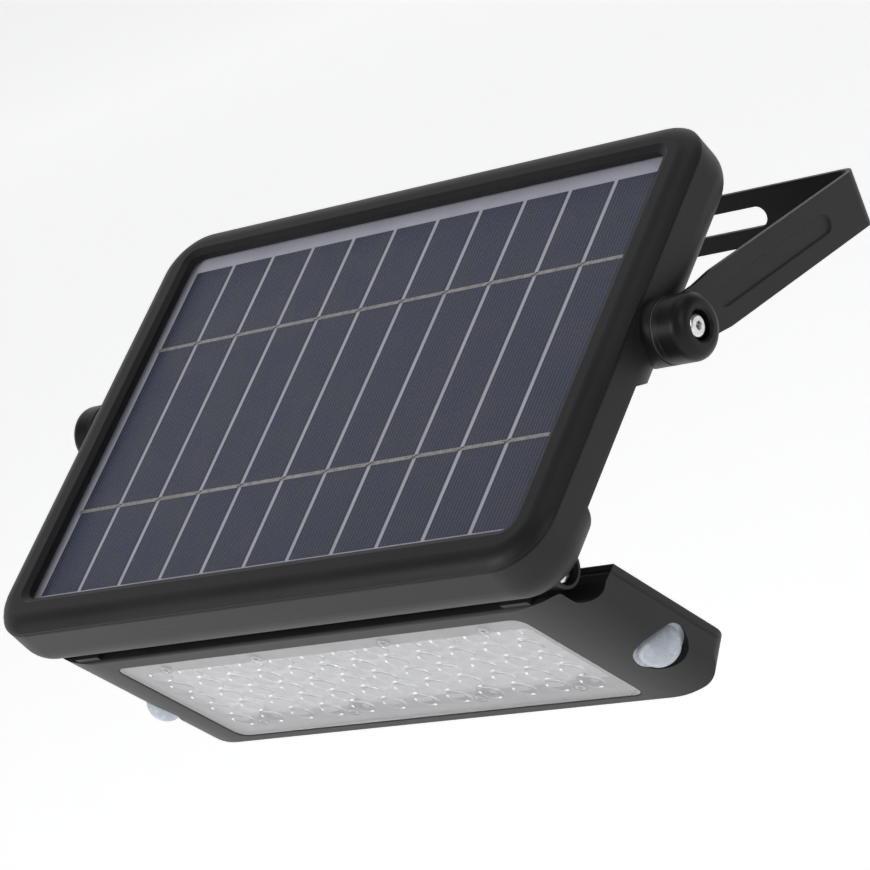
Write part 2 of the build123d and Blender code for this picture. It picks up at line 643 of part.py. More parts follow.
def pivot_screw(side):
    """Button-head screw with a hexagon socket."""
    under = KNOB_FACE_X - SCREW_RECESS
    top = under + SCREW_HEAD_HEIGHT
    shank = rod(SCREW_RADIUS, side * (BOSS_INNER_X - 2), side * under, PIVOT_Y, PIVOT_Z)
    head = rod(SCREW_HEAD_RADIUS, side * under, side * top, PIVOT_Y, PIVOT_Z)
    head = fillet(head.edges().group_by(Axis.X)[-1 if side > 0 else 0], 1.7)
    socket_plane = Plane(origin=(side * (top - 1.6), PIVOT_Y, PIVOT_Z), x_dir=(0, 1, 0),
                         z_dir=(side, 0, 0))
    socket = extrude(socket_plane * RegularPolygon(1.5 / math.cos(math.radians(30)), 6), amount=3)
    return shank + head - socket


def pivot_nut(side):
    nut = nut_prism(side, NUT_ACROSS_FLATS / 2, BOSS_INNER_X, NUT_THICK)
    return nut - rod(SCREW_RADIUS, side * 110, side * 130, PIVOT_Y, PIVOT_Z)


def friction_washer(side):
    x0 = side * BOSS_FACE_X
    x1 = side * (BOSS_FACE_X + WASHER_THICK)
    ring = rod(11.6, x0, x1, PIVOT_Y, PIVOT_Z)
    return ring - rod(HUB_RADIUS + 0.15, side * 130, side * 150, PIVOT_Y, PIVOT_Z)


save(tilt_knob(-1), "tilt_knob_left", to_row)
save(tilt_knob(1), "tilt_knob_right", to_row)
save(group([pivot_screw(s) for s in SIDES], "pivot_screws"), "pivot_screws", to_row)
save(group([pivot_nut(s) for s in SIDES], "pivot_nuts"), "pivot_nuts", to_row)
save(group([friction_washer(s) for s in SIDES], "friction_washers"), "friction_washers", to_row)


# ================================================================ hinge pins and leads
def hinge_pin(side):
    """Hollow pin held by the casing; its port lets the lead turn into the head's lug."""
    pin = rod(PIN_RADIUS, side * PIN_END_X, side * PIN_HEAD_X, HINGE_Y, HINGE_Z)
    head = rod(PIN_HEAD_RADIUS, side * PIN_HEAD_X, side * (PIN_HEAD_X + PIN_HEAD_THICK),
               HINGE_Y, HINGE_Z)
    head = fillet(head.edges().group_by(Axis.X)[-1 if side > 0 else 0], 0.6)
    bore = rod(PIN_BORE, side * (PIN_END_X - 1), side * 109, HINGE_Y, HINGE_Z)
    port = block(side * 102, side * 109, HINGE_Y - 0.6, HINGE_Y + 5, HINGE_Z - 5, HINGE_Z + 5)
    slot = block(side * (PIN_HEAD_X + PIN_HEAD_THICK - 0.9), side * (PIN_HEAD_X + 5),
                 HINGE_Y - 4, HINGE_Y + 4, HINGE_Z - 0.5, HINGE_Z + 0.5)
    return pin + head - bore - port - slot


def panel_lead():
    return tube_along(PANEL_LEAD, 8.0, LEAD_RADIUS)


def battery_lead():
    points = [(CELL_START_X + CELL_LENGTH + 0.4, 8.5, 53), (-16, 7.5, 52), (6, 6.5, 59),
              (25.4, 9.2, 66)]
    return tube_along(points, 12.0, LEAD_RADIUS)


def solar_lead():
    y0 = cell_back_y + SHEET_THICK + LEAD_RADIUS + 0.1
    points = [(8, y0, 64), (18, y0, 69), (25.1, 7.6, 71)]
    return tube_along(points, 8.0, LEAD_RADIUS)


save(group([hinge_pin(s) for s in SIDES], "hinge_pins"), "hinge_pins", to_row)
save(panel_lead(), "panel_lead", to_row)
save(battery_lead(), "battery_lead", to_row)
save(solar_lead(), "solar_lead", to_row)


# ================================================================ lamp head
def head_section(inset, length):
    """View from the hinge: flat underside, bulging ends, straight top edge."""
    half = HEAD_HALF - inset
    rise = END_RISE - inset
    run = HEAD_HALF - FLAT_HALF - inset
    right = EllipticalCenterArc((FLAT_HALF, END_RISE), run, rise, start_angle=270, arc_size=90)
    left = EllipticalCenterArc((-FLAT_HALF, END_RISE), run, rise, start_angle=180, arc_size=90)
    base = Line((-FLAT_HALF, inset), (FLAT_HALF, inset))
    top = Polyline((half, END_RISE), (half, HEAD_TOP_Z), (-half, HEAD_TOP_Z), (-half, END_RISE))
    face = make_face(Curve() + [left, base, right, top])
    plane = Plane(origin=(0, length, 0), x_dir=(1, 0, 0), z_dir=(0, -1, 0))
    return extrude(plane * face, amount=length + 40)


def head_profile():
    """View from the end: tongue under the hinge, channel, body and sloping far wall."""
    points = [(HEAD_NEAR_Y, 0), (HEAD_FAR_Y, 0), (HEAD_FAR_Y, 5), (HEAD_FAR_TOP_Y, HEAD_TOP_Z),
              (CHANNEL_TOP_Y, HEAD_TOP_Z), (CHANNEL_WALL_Y, 14), (CHANNEL_WALL_Y, TONGUE_Z),
              (HEAD_NEAR_Y, TONGUE_Z)]
    solid = side_prism(points, -150, 150)
    along = solid.edges().filter_by(Axis.X)
    floor = [e for e in along if abs(e.center().Y - CHANNEL_WALL_Y) < 0.1
             and abs(e.center().Z - TONGUE_Z) < 0.1]
    solid = fillet(floor, CHANNEL_ROUND)
    along = solid.edges().filter_by(Axis.X)
    far_low = [e for e in along if abs(e.center().Y - HEAD_FAR_Y) < 0.1 and e.center().Z < 1]
    solid = fillet(far_low, FAR_EDGE_ROUND)
    along = solid.edges().filter_by(Axis.X)
    near_edges = [e for e in along if abs(e.center().Y - HEAD_NEAR_Y) < 0.1]
    return fillet(near_edges, 1.2)


def head_form():
    plan = head_plate(HEAD_HALF, HEAD_NEAR_Y - 20, HEAD_FAR_Y, HEAD_CORNER, -1, HEAD_TOP_Z + 1)
    return head_section(0, HEAD_FAR_Y) & head_profile() & plan


def dome_plane(side, distance):
    """Plane square to a motion sensor's axis, at a distance outwards from its rim."""
    turn = math.radians(DOME_TURN)
    out = (side * math.sin(turn), 0, -math.cos(turn))
    origin = (side * DOME_X + out[0] * distance, DOME_Y, DOME_Z + out[2] * distance)
    return Plane(origin=origin, x_dir=(0, 1, 0), z_dir=out)


def dome_rod(side, radius, p0, p1):
    return extrude(dome_plane(side, p0) * Circle(radius), amount=p1 - p0)


def lug(side):
    """Hinge lug with the rib that ties it to the head's body."""
    x0 = side * LUG_IN_X
    x1 = side * LUG_OUT_X
    eye = rod(LUG_RADIUS, x0, x1, HEAD_HINGE_Y, HEAD_HINGE_Z)
    rib = block(x0, x1, HEAD_HINGE_Y - 1.4, CHANNEL_WALL_Y + 1, 1.0, HEAD_HINGE_Z - 1.5)
    return eye + rib


def end_cavity(side):
    """Room for a motion sensor, inside the bulging end of the head."""
    inner = head_section(HEAD_WALL, HEAD_FAR_Y - 2.4)
    plan = head_plate(HEAD_HALF - HEAD_WALL, CAVITY_NEAR_Y - 30, HEAD_FAR_Y - 7, HEAD_CORNER - 3,
                      HEAD_WALL, HEAD_TOP_Z + 1)
    zone = block(side * END_CAVITY_X, side * 140, CAVITY_NEAR_Y + 0.6, 90, 2, HEAD_TOP_Z + 1)
    return inner & plan & zone


def lamp_housing():
    form = head_form()
    shell = form & block(-200, 200, -50, 120, -5, COVER_SEAM_Z)
    shell = shell - head_plate(CAVITY_HALF, CAVITY_NEAR_Y, CAVITY_FAR_Y, 3, 1, 30)
    for side in SIDES:
        shell = shell - end_cavity(side)
        socket = dome_rod(side, DOME_POCKET + 1.8, -2.6, 14) & form
        shell = shell + (socket & block(-200, 200, -50, 120, -5, COVER_SEAM_Z))
        shell = shell + lug(side)
        shell = shell - dome_rod(side, DOME_POCKET, -0.9, 30)
        shell = shell - dome_rod(side, 6.6, -6, 2)
        shell = shell - rod(PIN_RADIUS + 0.05, side * 90, side * 120, HEAD_HINGE_Y, HEAD_HINGE_Z)
    for x, y in COVER_SCREWS:
        shell = shell + (upright(COVER_POST_RADIUS, x, y, 0, COVER_SEAM_Z) & form)
        shell = shell - upright(1.25, x, y, COVER_SEAM_Z - 10, COVER_SEAM_Z + 2)
    window = head_plate(LENS_HALF, LENS_NEAR_Y, LENS_FAR_Y, LENS_CORNER, -2, LENS_OUTER_Z + LENS_THICK)
    shell = shell - window
    for x in POST_X:
        for side in SIDES:
            post_z = LENS_OUTER_Z + LENS_THICK
            shell = shell + upright(2.4, side * x, POST_Y[1], post_z, post_z + 5.6)
            web = block(side * x - 0.8, side * x + 0.8, POST_Y[1], CAVITY_FAR_Y + 0.5, 2.3, 6.0)
            shell = shell + web
            for y in POST_Y:
                shell = shell - upright(0.9, side * x, y, 1.5, 6.1)
    shell = shell - lead_tunnel()
    for side in SIDES:
        shell = shell - block(side * 94, side * 104, 27, 55, 12.2, 30)
    return shell - gasket_ring(0.1)


def ring_outline(inset, z0, z1):
    """Solid that follows the head's outline near the cover seam, inset from its edge."""
    near = CHANNEL_TOP_Y - 1.2 + inset
    return head_plate_corners(HEAD_HALF - inset, near, GASKET_FAR_Y - inset, HEAD_CORNER - inset, z0, z1)


def head_plate_corners(half_x, y0, y1, corner, z0, z1):
    """Plate with round far corners and nearly square near corners."""
    plate = head_plate(half_x, y0 - 40, y1, corner, z0, z1)
    return plate & block(-half_x, half_x, y0, y1, z0 - 1, z1 + 1)


def gasket_ring(grow):
    """Seal in a groove under the rear cover."""
    z0 = COVER_SEAM_Z - 0.9 - grow
    outer = ring_outline(0.7 - grow, z0, COVER_SEAM_Z + grow)
    return outer - ring_outline(1.6 + grow, z0 - 1, COVER_SEAM_Z + 1)


def lead_tunnel():
    """Way for the lead from the hinge pin through the lug into the head."""
    return tube_along([HEAD_LEAD[1], HEAD_LEAD[2], HEAD_LEAD[3]], HEAD_LEAD_BENDS[1], LEAD_RADIUS + 0.7)


def head_lead():
    return tube_along(HEAD_LEAD, HEAD_LEAD_BENDS, LEAD_RADIUS)


save(lamp_housing(), "lamp_housing", head_to_row)
save(head_lead(), "head_lead", head_to_row)


def rear_cover():
    plate = head_form() & block(-200, 200, -50, 120, COVER_SEAM_Z, 40)
    top = plate.edges().group_by(Axis.Z)[-1]
    plate = fillet(top, 1.1)
    inner = ring_outline(4.2, COVER_SEAM_Z - 1, COVER_SEAM_Z + 1.2)
    plate = plate - (inner & head_plate(120, CAVITY_NEAR_Y + 2, 70, 6, 0, 30))
    for x, y in COVER_SCREWS:
        plate = plate - upright(1.6, x, y, COVER_SEAM_Z - 1, HEAD_TOP_Z + 1)
        plate = plate - upright(2.9, x, y, HEAD_TOP_Z - COVER_SCREW_SEAT, HEAD_TOP_Z + 1)
    return plate


def cover_screw(x, y):
    seat = HEAD_TOP_Z - COVER_SCREW_SEAT
    head = upright(2.6, x, y, seat, seat + 1.6)
    head = fillet(head.edges().group_by(Axis.Z)[-1], 0.8)
    cross = Pos(x, y, seat + 1.6) * (Box(2.8, 0.5, 1.6) + Box(0.5, 2.8, 1.6))
    return head - cross + upright(1.2, x, y, seat - 8.5, seat + 0.1)


save(rear_cover(), "rear_cover", head_to_row)
save(gasket_ring(0), "cover_gasket", head_to_row)
save(group([cover_screw(x, y) for x, y in COVER_SCREWS], "cover_screws"), "cover_screws", head_to_row)


# ================================================================ lens plate, reflector, LEDs
def led_places():
    places = []
    for row in range(LED_ROWS):
        for column in range(LED_COLUMNS):
            x = (column - (LED_COLUMNS - 1) / 2) * LED_PITCH_X
            places.append((x, LED_FIRST_Y + row * LED_PITCH_Y))
    return places


def post_places():
    return [(side * x, y) for x in POST_X for side in SIDES for y in POST_Y]


def lens_plate():
    """Clear plate with one shallow dome over each LED, on its inner side."""
    plate = head_plate(LENS_HALF - 0.25, LENS_NEAR_Y + 0.25, LENS_FAR_Y - 0.25, LENS_CORNER - 0.25,
                       LENS_OUTER_Z, LENS_OUTER_Z + LENS_THICK - 0.05)
    radius = (LED_LENS_RADIUS ** 2 + LED_LENS_RISE ** 2) / (2 * LED_LENS_RISE)
    bottom = LENS_OUTER_Z + LENS_THICK - 0.1
    cap = Pos(0, 0, bottom + LED_LENS_RISE - radius) * Sphere(radius)
    cap = cap & upright(LED_LENS_RADIUS, 0, 0, bottom - 0.4, bottom + 3.6)
    room = head_plate(CAVITY_HALF - 0.3, CAVITY_NEAR_Y + 0.3, CAVITY_FAR_Y - 0.3, 2.7, 0.5, 9)
    domes = [(Pos(x, y, 0) * cap) & room for x, y in led_places()]
    plate = plate + domes
    for x, y in post_places():
        plate = plate - upright(1.15, x, y, -1, 3)
        plate = plate - upright(LENS_SCREW_HEAD + 0.2, x, y, -1, LENS_OUTER_Z + 1.0)
    return plate


def lens_screw(x, y):
    head = upright(LENS_SCREW_HEAD, x, y, LENS_OUTER_Z + 0.1, LENS_OUTER_Z + 0.9)
    cross = Pos(x, y, LENS_OUTER_Z + 0.1) * (Box(2.4, 0.4, 0.6) + Box(0.4, 2.4, 0.6))
    return head - cross + upright(0.85, x, y, LENS_OUTER_Z + 0.5, LENS_OUTER_Z + 4.9)


def reflector():
    plate = head_plate(CAVITY_HALF - 0.4, CAVITY_NEAR_Y + 0.4, CAVITY_FAR_Y - 0.4, 2.5,
                       REFLECTOR_Z[1] - 1.2, REFLECTOR_Z[1])
    holes = [Pos(x, y, REFLECTOR_Z[1]) * Cylinder(REFLECTOR_HOLE, 6) for x, y in led_places()
             if y - REFLECTOR_HOLE > CAVITY_NEAR_Y + 1]
    near_holes = [Pos(x, y, REFLECTOR_Z[1]) * Box(2 * REFLECTOR_HOLE, 3.0, 6) for x, y in led_places()
                  if y - REFLECTOR_HOLE <= CAVITY_NEAR_Y + 1]
    plate = plate - holes - near_holes
    for x, y in post_places():
        if y > CAVITY_NEAR_Y:
            plate = plate - Pos(x, y + 1.6, REFLECTOR_Z[1]) * Box(5.4, 8.6, 8)
    return plate


def led_board():
    return head_plate(CAVITY_HALF - 0.6, CAVITY_NEAR_Y + 0.2, CAVITY_FAR_Y - 0.5, 2.5, BOARD_Z,
                      BOARD_Z + BOARD_THICK)


def led_chips():
    chips = [block(x - LED_HALF, x + LED_HALF, y - LED_HALF, y + LED_HALF, BOARD_Z - LED_CHIP_THICK, BOARD_Z)
             for x, y in led_places()]
    return group(chips, "led_chips")


def board_sockets():
    """Two plugs on the LED board: one for the hinge lead, one for the sensors."""
    z = BOARD_Z + BOARD_THICK
    return group([block(-84.2, -76, 33, 43, z, z + 4.2), block(-84.2, -76, 45, 55, z, z + 4.2),
                  block(76, 84.2, 45, 55, z, z + 4.2)], "board_sockets")


save(lens_plate(), "lens_plate", head_to_row)
save(group([lens_screw(x, y) for x, y in post_places()], "lens_screws"), "lens_screws", head_to_row)
save(reflector(), "reflector", head_to_row)
save(led_board(), "led_board", head_to_row)
save(led_chips(), "led_chips", head_to_row)
save(board_sockets(), "board_sockets", head_to_row)


# ================================================================ motion sensors
def sensor_dome(side):
    """Milky dome lens with a flange that seats in its pocket."""
    ball = Sphere(DOME_RADIUS) - Sphere(DOME_RADIUS - DOME_SHELL)
    half = ball & Pos(0, 0, 10) * Box(40, 40, 20)
    flange = Pos(0, 0, -0.4) * (Cylinder(DOME_POCKET - 0.2, 0.8) - Cylinder(DOME_RADIUS - DOME_SHELL, 2))
    return dome_plane(side, 0).location * (half + flange)


def sensor_can(side):
    can = dome_rod(side, SENSOR_RADIUS, -5.2, -1.6)
    rim = dome_rod(side, SENSOR_RADIUS + 0.5, -5.2, -4.7)
    return can + rim


def sensor_board(side):
    return extrude(dome_plane(side, -6.4) * Rectangle(18, 10.5), amount=1.2)


def sensor_lead(side):
    points = [(side * 114.8, 56.5, 14.85), (side * 103.5, 52.5, 15.6), (side * 94.0, 50.5, 15.0),
              (side * 84.6, 50.0, 12.4)]
    return tube_along(points, 3.5, 0.9)


for side_name, side in (("left", -1), ("right", 1)):
    save(sensor_dome(side), "sensor_dome_" + side_name, head_to_row)
    save(sensor_can(side), "motion_sensor_" + side_name, head_to_row)
    save(sensor_board(side), "sensor_board_" + side_name, head_to_row)
save(group([sensor_lead(s) for s in SIDES], "sensor_leads"), "sensor_leads", head_to_row)
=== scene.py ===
import bmesh
import bpy
import json
import math
from mathutils import Matrix, Vector


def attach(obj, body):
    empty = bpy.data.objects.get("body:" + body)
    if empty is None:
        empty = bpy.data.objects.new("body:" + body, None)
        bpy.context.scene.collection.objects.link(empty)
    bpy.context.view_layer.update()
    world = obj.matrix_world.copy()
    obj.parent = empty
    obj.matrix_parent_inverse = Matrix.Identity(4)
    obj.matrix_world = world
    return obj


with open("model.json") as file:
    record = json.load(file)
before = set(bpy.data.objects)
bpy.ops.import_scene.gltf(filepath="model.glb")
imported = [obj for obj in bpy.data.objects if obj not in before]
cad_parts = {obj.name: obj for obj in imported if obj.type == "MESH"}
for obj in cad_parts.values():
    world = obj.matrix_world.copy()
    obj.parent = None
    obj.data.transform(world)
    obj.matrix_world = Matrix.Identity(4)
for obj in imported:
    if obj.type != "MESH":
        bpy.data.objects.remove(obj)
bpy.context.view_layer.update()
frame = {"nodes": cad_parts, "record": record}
nodes = frame["nodes"]

# ------------------------------------------------------------------ driving values, metres
TILT = math.radians(61.6)             # panel leaned back from upright
TILT_AXIS_Y = -0.1290                 # tilt axis in the row frame
PIVOT = (0.0125, 0.0115)              # the same axis in the panel frame, y and z
FOLD = math.radians(13.28)            # lens plate from square to the panel
FOLD_IN_PANEL = (0.0207, -0.0807)     # fold axis in the panel frame
FOLD_IN_HEAD = (0.0016, 0.01255)      # fold axis in the head frame

CASE_SEAM_Y = -0.001                  # joint between bezel and rear housing, panel frame
COVER_SEAM_Z = 0.0181                 # joint between lamp housing and cover, head frame
STRIP_PITCH = 0.0215
STRIP_COUNT = 11
STRIP_GAP = 0.002
FINGERS_PER_STRIP = 13
RIBBON_Z = 0.039
RIBBON_FRONT_Y = -0.00018             # just in front of the ribbons, under the glazing
LED_COLUMNS = 12
LED_ROWS = 5
LED_PITCH_X = 0.0157
LED_PITCH_Y = 0.0111
LED_FIRST_Y = 0.021
RIM_RADIUS = 0.0039                   # arc of the painted highlight marks round each LED
RIM_Z = 0.00042                       # their height, on the lens plate's outer face
RIM_START = math.radians(53)          # where each arc starts; it runs half a turn
RIM_STEPS = 18
RIM_SIDES = 8
RIM_THIN = 0.00016                    # half width along the middle of the arc
RIM_SWELL = 0.00062                   # added to it towards the ends
RIM_SWELL_FROM = 0.5                  # share of the way from the middle where it starts
RIM_TIP = 0.00012                     # half width at the very ends
RIM_FLATNESS = 0.45                   # height against width
CUP_REACH = 0.0043                    # room one reflector cup takes round its LED
CUPS_FROM_Y = 0.0204                  # cups only where they lie wholly past this line
SEAL_INSET = 0.0001                   # bead of sealant, inward of the plate's edge
SEAL_Z = 0.00034
SEAL_HALF_WIDTH = 0.00030
SEAL_HALF_HEIGHT = 0.00026
SEAL_SIDES = 8
LENS_HALF = 0.1003
LENS_Y = (0.0097, 0.079)
LENS_CORNER = 0.005
DOME_AT = (0.1213, 0.0565, 0.00795)   # motion sensor domes, head frame
DOME_TURN = math.radians(45)
DOME_RADIUS = 0.008


# ------------------------------------------------------------------ frames
def panel_to_row():
    """Panel frame (x across, y back from the glass, z up the panel) to the row frame."""
    return (Matrix.Translation((0, TILT_AXIS_Y, 0)) @ Matrix.Rotation(-TILT, 4, "X")
            @ Matrix.Translation((0, -PIVOT[0], -PIVOT[1])))


def head_to_row():
    """Head frame (x across, y along the lens plate, z up into the head) to the row frame."""
    hinge = Matrix.Translation((0, *FOLD_IN_PANEL)) @ Matrix.Rotation(FOLD, 4, "X")
    return panel_to_row() @ hinge @ Matrix.Translation((0, -FOLD_IN_HEAD[0], -FOLD_IN_HEAD[1]))


ROW = Matrix.Identity(4)
PANEL = panel_to_row()
HEAD = head_to_row()


# ------------------------------------------------------------------ shader helper
class Shader:
    """One node material, built with short calls."""

    def __init__(self, name, space=ROW):
        self.material = bpy.data.materials.new(name)
        self.material.use_nodes = True
        self.tree = self.material.node_tree
        self.tree.nodes.clear()
        self.out = self.tree.nodes.new("ShaderNodeOutputMaterial")
        self.bsdf = self.tree.nodes.new("ShaderNodeBsdfPrincipled")
        self.tree.links.new(self.bsdf.outputs[0], self.out.inputs[0])
        coords = self.tree.nodes.new("ShaderNodeTexCoord").outputs["Object"]
        back = space.inverted()
        mapping = self.tree.nodes.new("ShaderNodeMapping")
        mapping.inputs["Location"].default_value = back.to_translation()
        mapping.inputs["Rotation"].default_value = back.to_euler()
        self.tree.links.new(coords, mapping.inputs["Vector"])
        self.place = mapping.outputs[0]

    def node(self, kind, **settings):
        node = self.tree.nodes.new(kind)
        for key, value in settings.items():
            setattr(node, key, value)
        return node

    def feed(self, socket, value):
        """Link an output to a socket, or set the socket's own value."""
        if isinstance(value, bpy.types.NodeSocket):
            self.tree.links.new(value, socket)
        else:
            socket.default_value = value

    def math(self, operation, a, b=0.0, c=0.0):
        node = self.node("ShaderNodeMath", operation=operation)
        for socket, value in zip(node.inputs, (a, b, c)):
            self.feed(socket, value)
        return node.outputs[0]

    def axis(self, which, source=None):
        """One of the three coordinates, 0 for x to 2 for z."""
        node = self.node("ShaderNodeSeparateXYZ")
        self.feed(node.inputs[0], source or self.place)
        return node.outputs[which]

    def stretched(self, x, y, z):
        """Coordinates scaled differently along each axis."""
        node = self.node("ShaderNodeVectorMath", operation="MULTIPLY")
        self.feed(node.inputs[0], self.place)
        node.inputs[1].default_value = (x, y, z)
        return node.outputs[0]

    def noise(self, scale, detail=3.0, rough=0.55, vector=None, distortion=0.0):
        node = self.node("ShaderNodeTexNoise")
        self.feed(node.inputs["Vector"], vector or self.place)
        node.inputs["Scale"].default_value = scale
        node.inputs["Detail"].default_value = detail
        node.inputs["Roughness"].default_value = rough
        node.inputs["Distortion"].default_value = distortion
        return node.outputs[0]

    def voronoi(self, scale, feature="F1", vector=None, output="Distance"):
        node = self.node("ShaderNodeTexVoronoi", feature=feature)
        self.feed(node.inputs["Vector"], vector or self.place)
        node.inputs["Scale"].default_value = scale
        return node.outputs[output]

    def remap(self, value, low, high, to_low=0.0, to_high=1.0):
        node = self.node("ShaderNodeMapRange", interpolation_type="SMOOTHSTEP")
        self.feed(node.inputs[0], value)
        for index, setting in enumerate((low, high, to_low, to_high), start=1):
            node.inputs[index].default_value = setting
        return node.outputs[0]

    def mix(self, factor, a, b):
        """Colour a at factor 0, colour b at factor 1."""
        node = self.node("ShaderNodeMix", data_type="RGBA")
        self.feed(node.inputs[0], factor)
        self.feed(node.inputs[6], a if isinstance(a, bpy.types.NodeSocket) else (*a, 1))
        self.feed(node.inputs[7], b if isinstance(b, bpy.types.NodeSocket) else (*b, 1))
        return node.outputs[2]

    def bump(self, height, depth, normal=None, strength=1.0):
        """Relief: depth is the height of the texture's full range, in metres."""
        node = self.node("ShaderNodeBump")
        node.inputs["Strength"].default_value = strength
        node.inputs["Distance"].default_value = depth
        self.feed(node.inputs["Height"], height)
        if normal is not None:
            self.feed(node.inputs["Normal"], normal)
        return node.outputs[0]

    def edges(self, radius, low=0.02, high=0.25):
        """1 along sharp and rounded edges, 0 on flat ground."""
        bevel = self.node("ShaderNodeBevel", samples=4)
        bevel.inputs["Radius"].default_value = radius
        plain = self.node("ShaderNodeNewGeometry").outputs["Normal"]
        dot = self.node("ShaderNodeVectorMath", operation="DOT_PRODUCT")
        self.feed(dot.inputs[0], bevel.outputs[0])
        self.feed(dot.inputs[1], plain)
        return self.remap(self.math("SUBTRACT", 1.0, dot.outputs["Value"]), low, high)

    def crevices(self, distance):
        """1 in narrow corners where dust gathers."""
        node = self.node("ShaderNodeAmbientOcclusion", samples=4)
        node.inputs["Distance"].default_value = distance
        return self.remap(node.outputs["AO"], 0.75, 0.25)

    def set(self, **sockets):
        """Feed the Principled sockets, by the short names below."""
        names = {"colour": "Base Color", "rough": "Roughness", "metal": "Metallic",
                 "normal": "Normal", "coat": "Coat Weight", "coat_rough": "Coat Roughness",
                 "specular": "Specular IOR Level", "alpha": "Alpha", "ior": "IOR",
                 "transmission": "Transmission Weight", "subsurface": "Subsurface Weight",
                 "subsurface_scale": "Subsurface Scale"}
        for key, value in sockets.items():
            if key == "colour" and not isinstance(value, bpy.types.NodeSocket):
                value = (*value, 1)
            self.feed(self.bsdf.inputs[names[key]], value)


# ------------------------------------------------------------------ plastics
def moulded_plastic(name, space, dark, light, rough=(0.40, 0.54), seam=None):
    """Satin black moulding: spark-eroded grain, handling marks, edge wear and dust."""
    s = Shader(name, space)
    cloud = s.noise(14, 4, 0.6)
    fine = s.noise(420, 3, 0.6)
    colour = s.mix(s.remap(cloud, 0.3, 0.7), dark, light)
    colour = s.mix(s.math("MULTIPLY", s.remap(fine, 0.35, 0.75), 0.25), colour, light)
    rub = s.math("MULTIPLY", s.edges(0.0009), s.remap(s.noise(60, 4, 0.7), 0.42, 0.66))
    colour = s.mix(s.math("MULTIPLY", rub, 0.5), colour, [v * 2.4 for v in light])
    dust = s.math("MULTIPLY", s.crevices(0.004), s.remap(s.noise(90, 5, 0.7), 0.35, 0.7))
    colour = s.mix(s.math("MULTIPLY", dust, 0.08), colour, (0.11, 0.105, 0.10))
    hair = s.noise(30, 2, 0.5, vector=s.stretched(1.0, 22.0, 9.0))
    hair = s.remap(hair, 0.66, 0.72)
    grain = s.voronoi(2600)
    rough_map = s.math("MULTIPLY_ADD", cloud, rough[1] - rough[0], rough[0])
    rough_map = s.math("MULTIPLY_ADD", hair, -0.05, rough_map)
    rough_map = s.math("MULTIPLY_ADD", dust, 0.2, rough_map)
    normal = s.bump(grain, 0.00003, strength=0.35)
    normal = s.bump(s.noise(700, 2), 0.00004, normal, 0.35)
    normal = s.bump(s.noise(26, 2), 0.00035, normal, 0.25)
    if seam is not None:
        which, place, half = seam
        away = s.math("ABSOLUTE", s.math("SUBTRACT", s.axis(which), place))
        groove = s.remap(away, half * 0.45, half)
        colour = s.mix(groove, (0.001, 0.001, 0.001), colour)
        normal = s.bump(groove, 0.0003, normal, 0.8)
    s.set(colour=colour, rough=rough_map, normal=normal, specular=0.32)
    return s.material


def powder_coat(name):
    """Black powder coat on pressed steel, with orange peel and rubbed edges."""
    s = Shader(name)
    peel = s.noise(950, 2, 0.5)
    cloud = s.noise(20, 4, 0.6)
    speck = s.remap(s.voronoi(1500), 0.02, 0.09)
    colour = s.mix(s.remap(cloud, 0.3, 0.7), (0.008, 0.008, 0.009), (0.014, 0.014, 0.015))
    pits = s.math("SUBTRACT", 1.0, speck)
    colour = s.mix(s.math("MULTIPLY", pits, 0.25), colour, (0.03, 0.03, 0.033))
    rub = s.math("MULTIPLY", s.edges(0.0006, 0.05, 0.3),
                 s.remap(s.noise(130, 5, 0.7), 0.46, 0.66))
    colour = s.mix(s.math("MULTIPLY", rub, 0.55), colour, (0.16, 0.16, 0.165))
    rough = s.math("MULTIPLY_ADD", cloud, 0.14, 0.36)
    normal = s.bump(peel, 0.00006, strength=0.4)
    s.set(colour=colour, rough=rough, normal=normal, specular=0.28)
    return s.material


def knob_plastic(name):
    """Slightly glossier black moulding with a fine turned texture on its face."""
    s = Shader(name, PANEL)
    away = s.node("ShaderNodeVectorMath", operation="LENGTH")
    offset = s.node("ShaderNodeVectorMath", operation="SUBTRACT")
    s.feed(offset.inputs[0], s.place)
    offset.inputs[1].default_value = (0, PIVOT[0], PIVOT[1])
    flat = s.node("ShaderNodeVectorMath", operation="MULTIPLY")
    s.feed(flat.inputs[0], offset.outputs[0])
    flat.inputs[1].default_value = (0, 1, 1)
    s.feed(away.inputs[0], flat.outputs[0])
    rings = s.math("SINE", s.math("MULTIPLY", away.outputs["Value"], 21000))
    cloud = s.noise(55, 4, 0.6)
    colour = s.mix(s.remap(cloud, 0.3, 0.7), (0.006, 0.006, 0.0065), (0.011, 0.011, 0.012))
    rub = s.math("MULTIPLY", s.edges(0.0008), s.remap(s.noise(170, 5, 0.7), 0.4, 0.62))
    colour = s.mix(s.math("MULTIPLY", rub, 0.5), colour, (0.09, 0.09, 0.095))
    normal = s.bump(rings, 0.000006, strength=0.25)
    normal = s.bump(s.voronoi(2400), 0.00003, normal, 0.3)
    s.set(colour=colour, rough=s.math("MULTIPLY_ADD", cloud, 0.14, 0.3), normal=normal,
          specular=0.2)
    return s.material


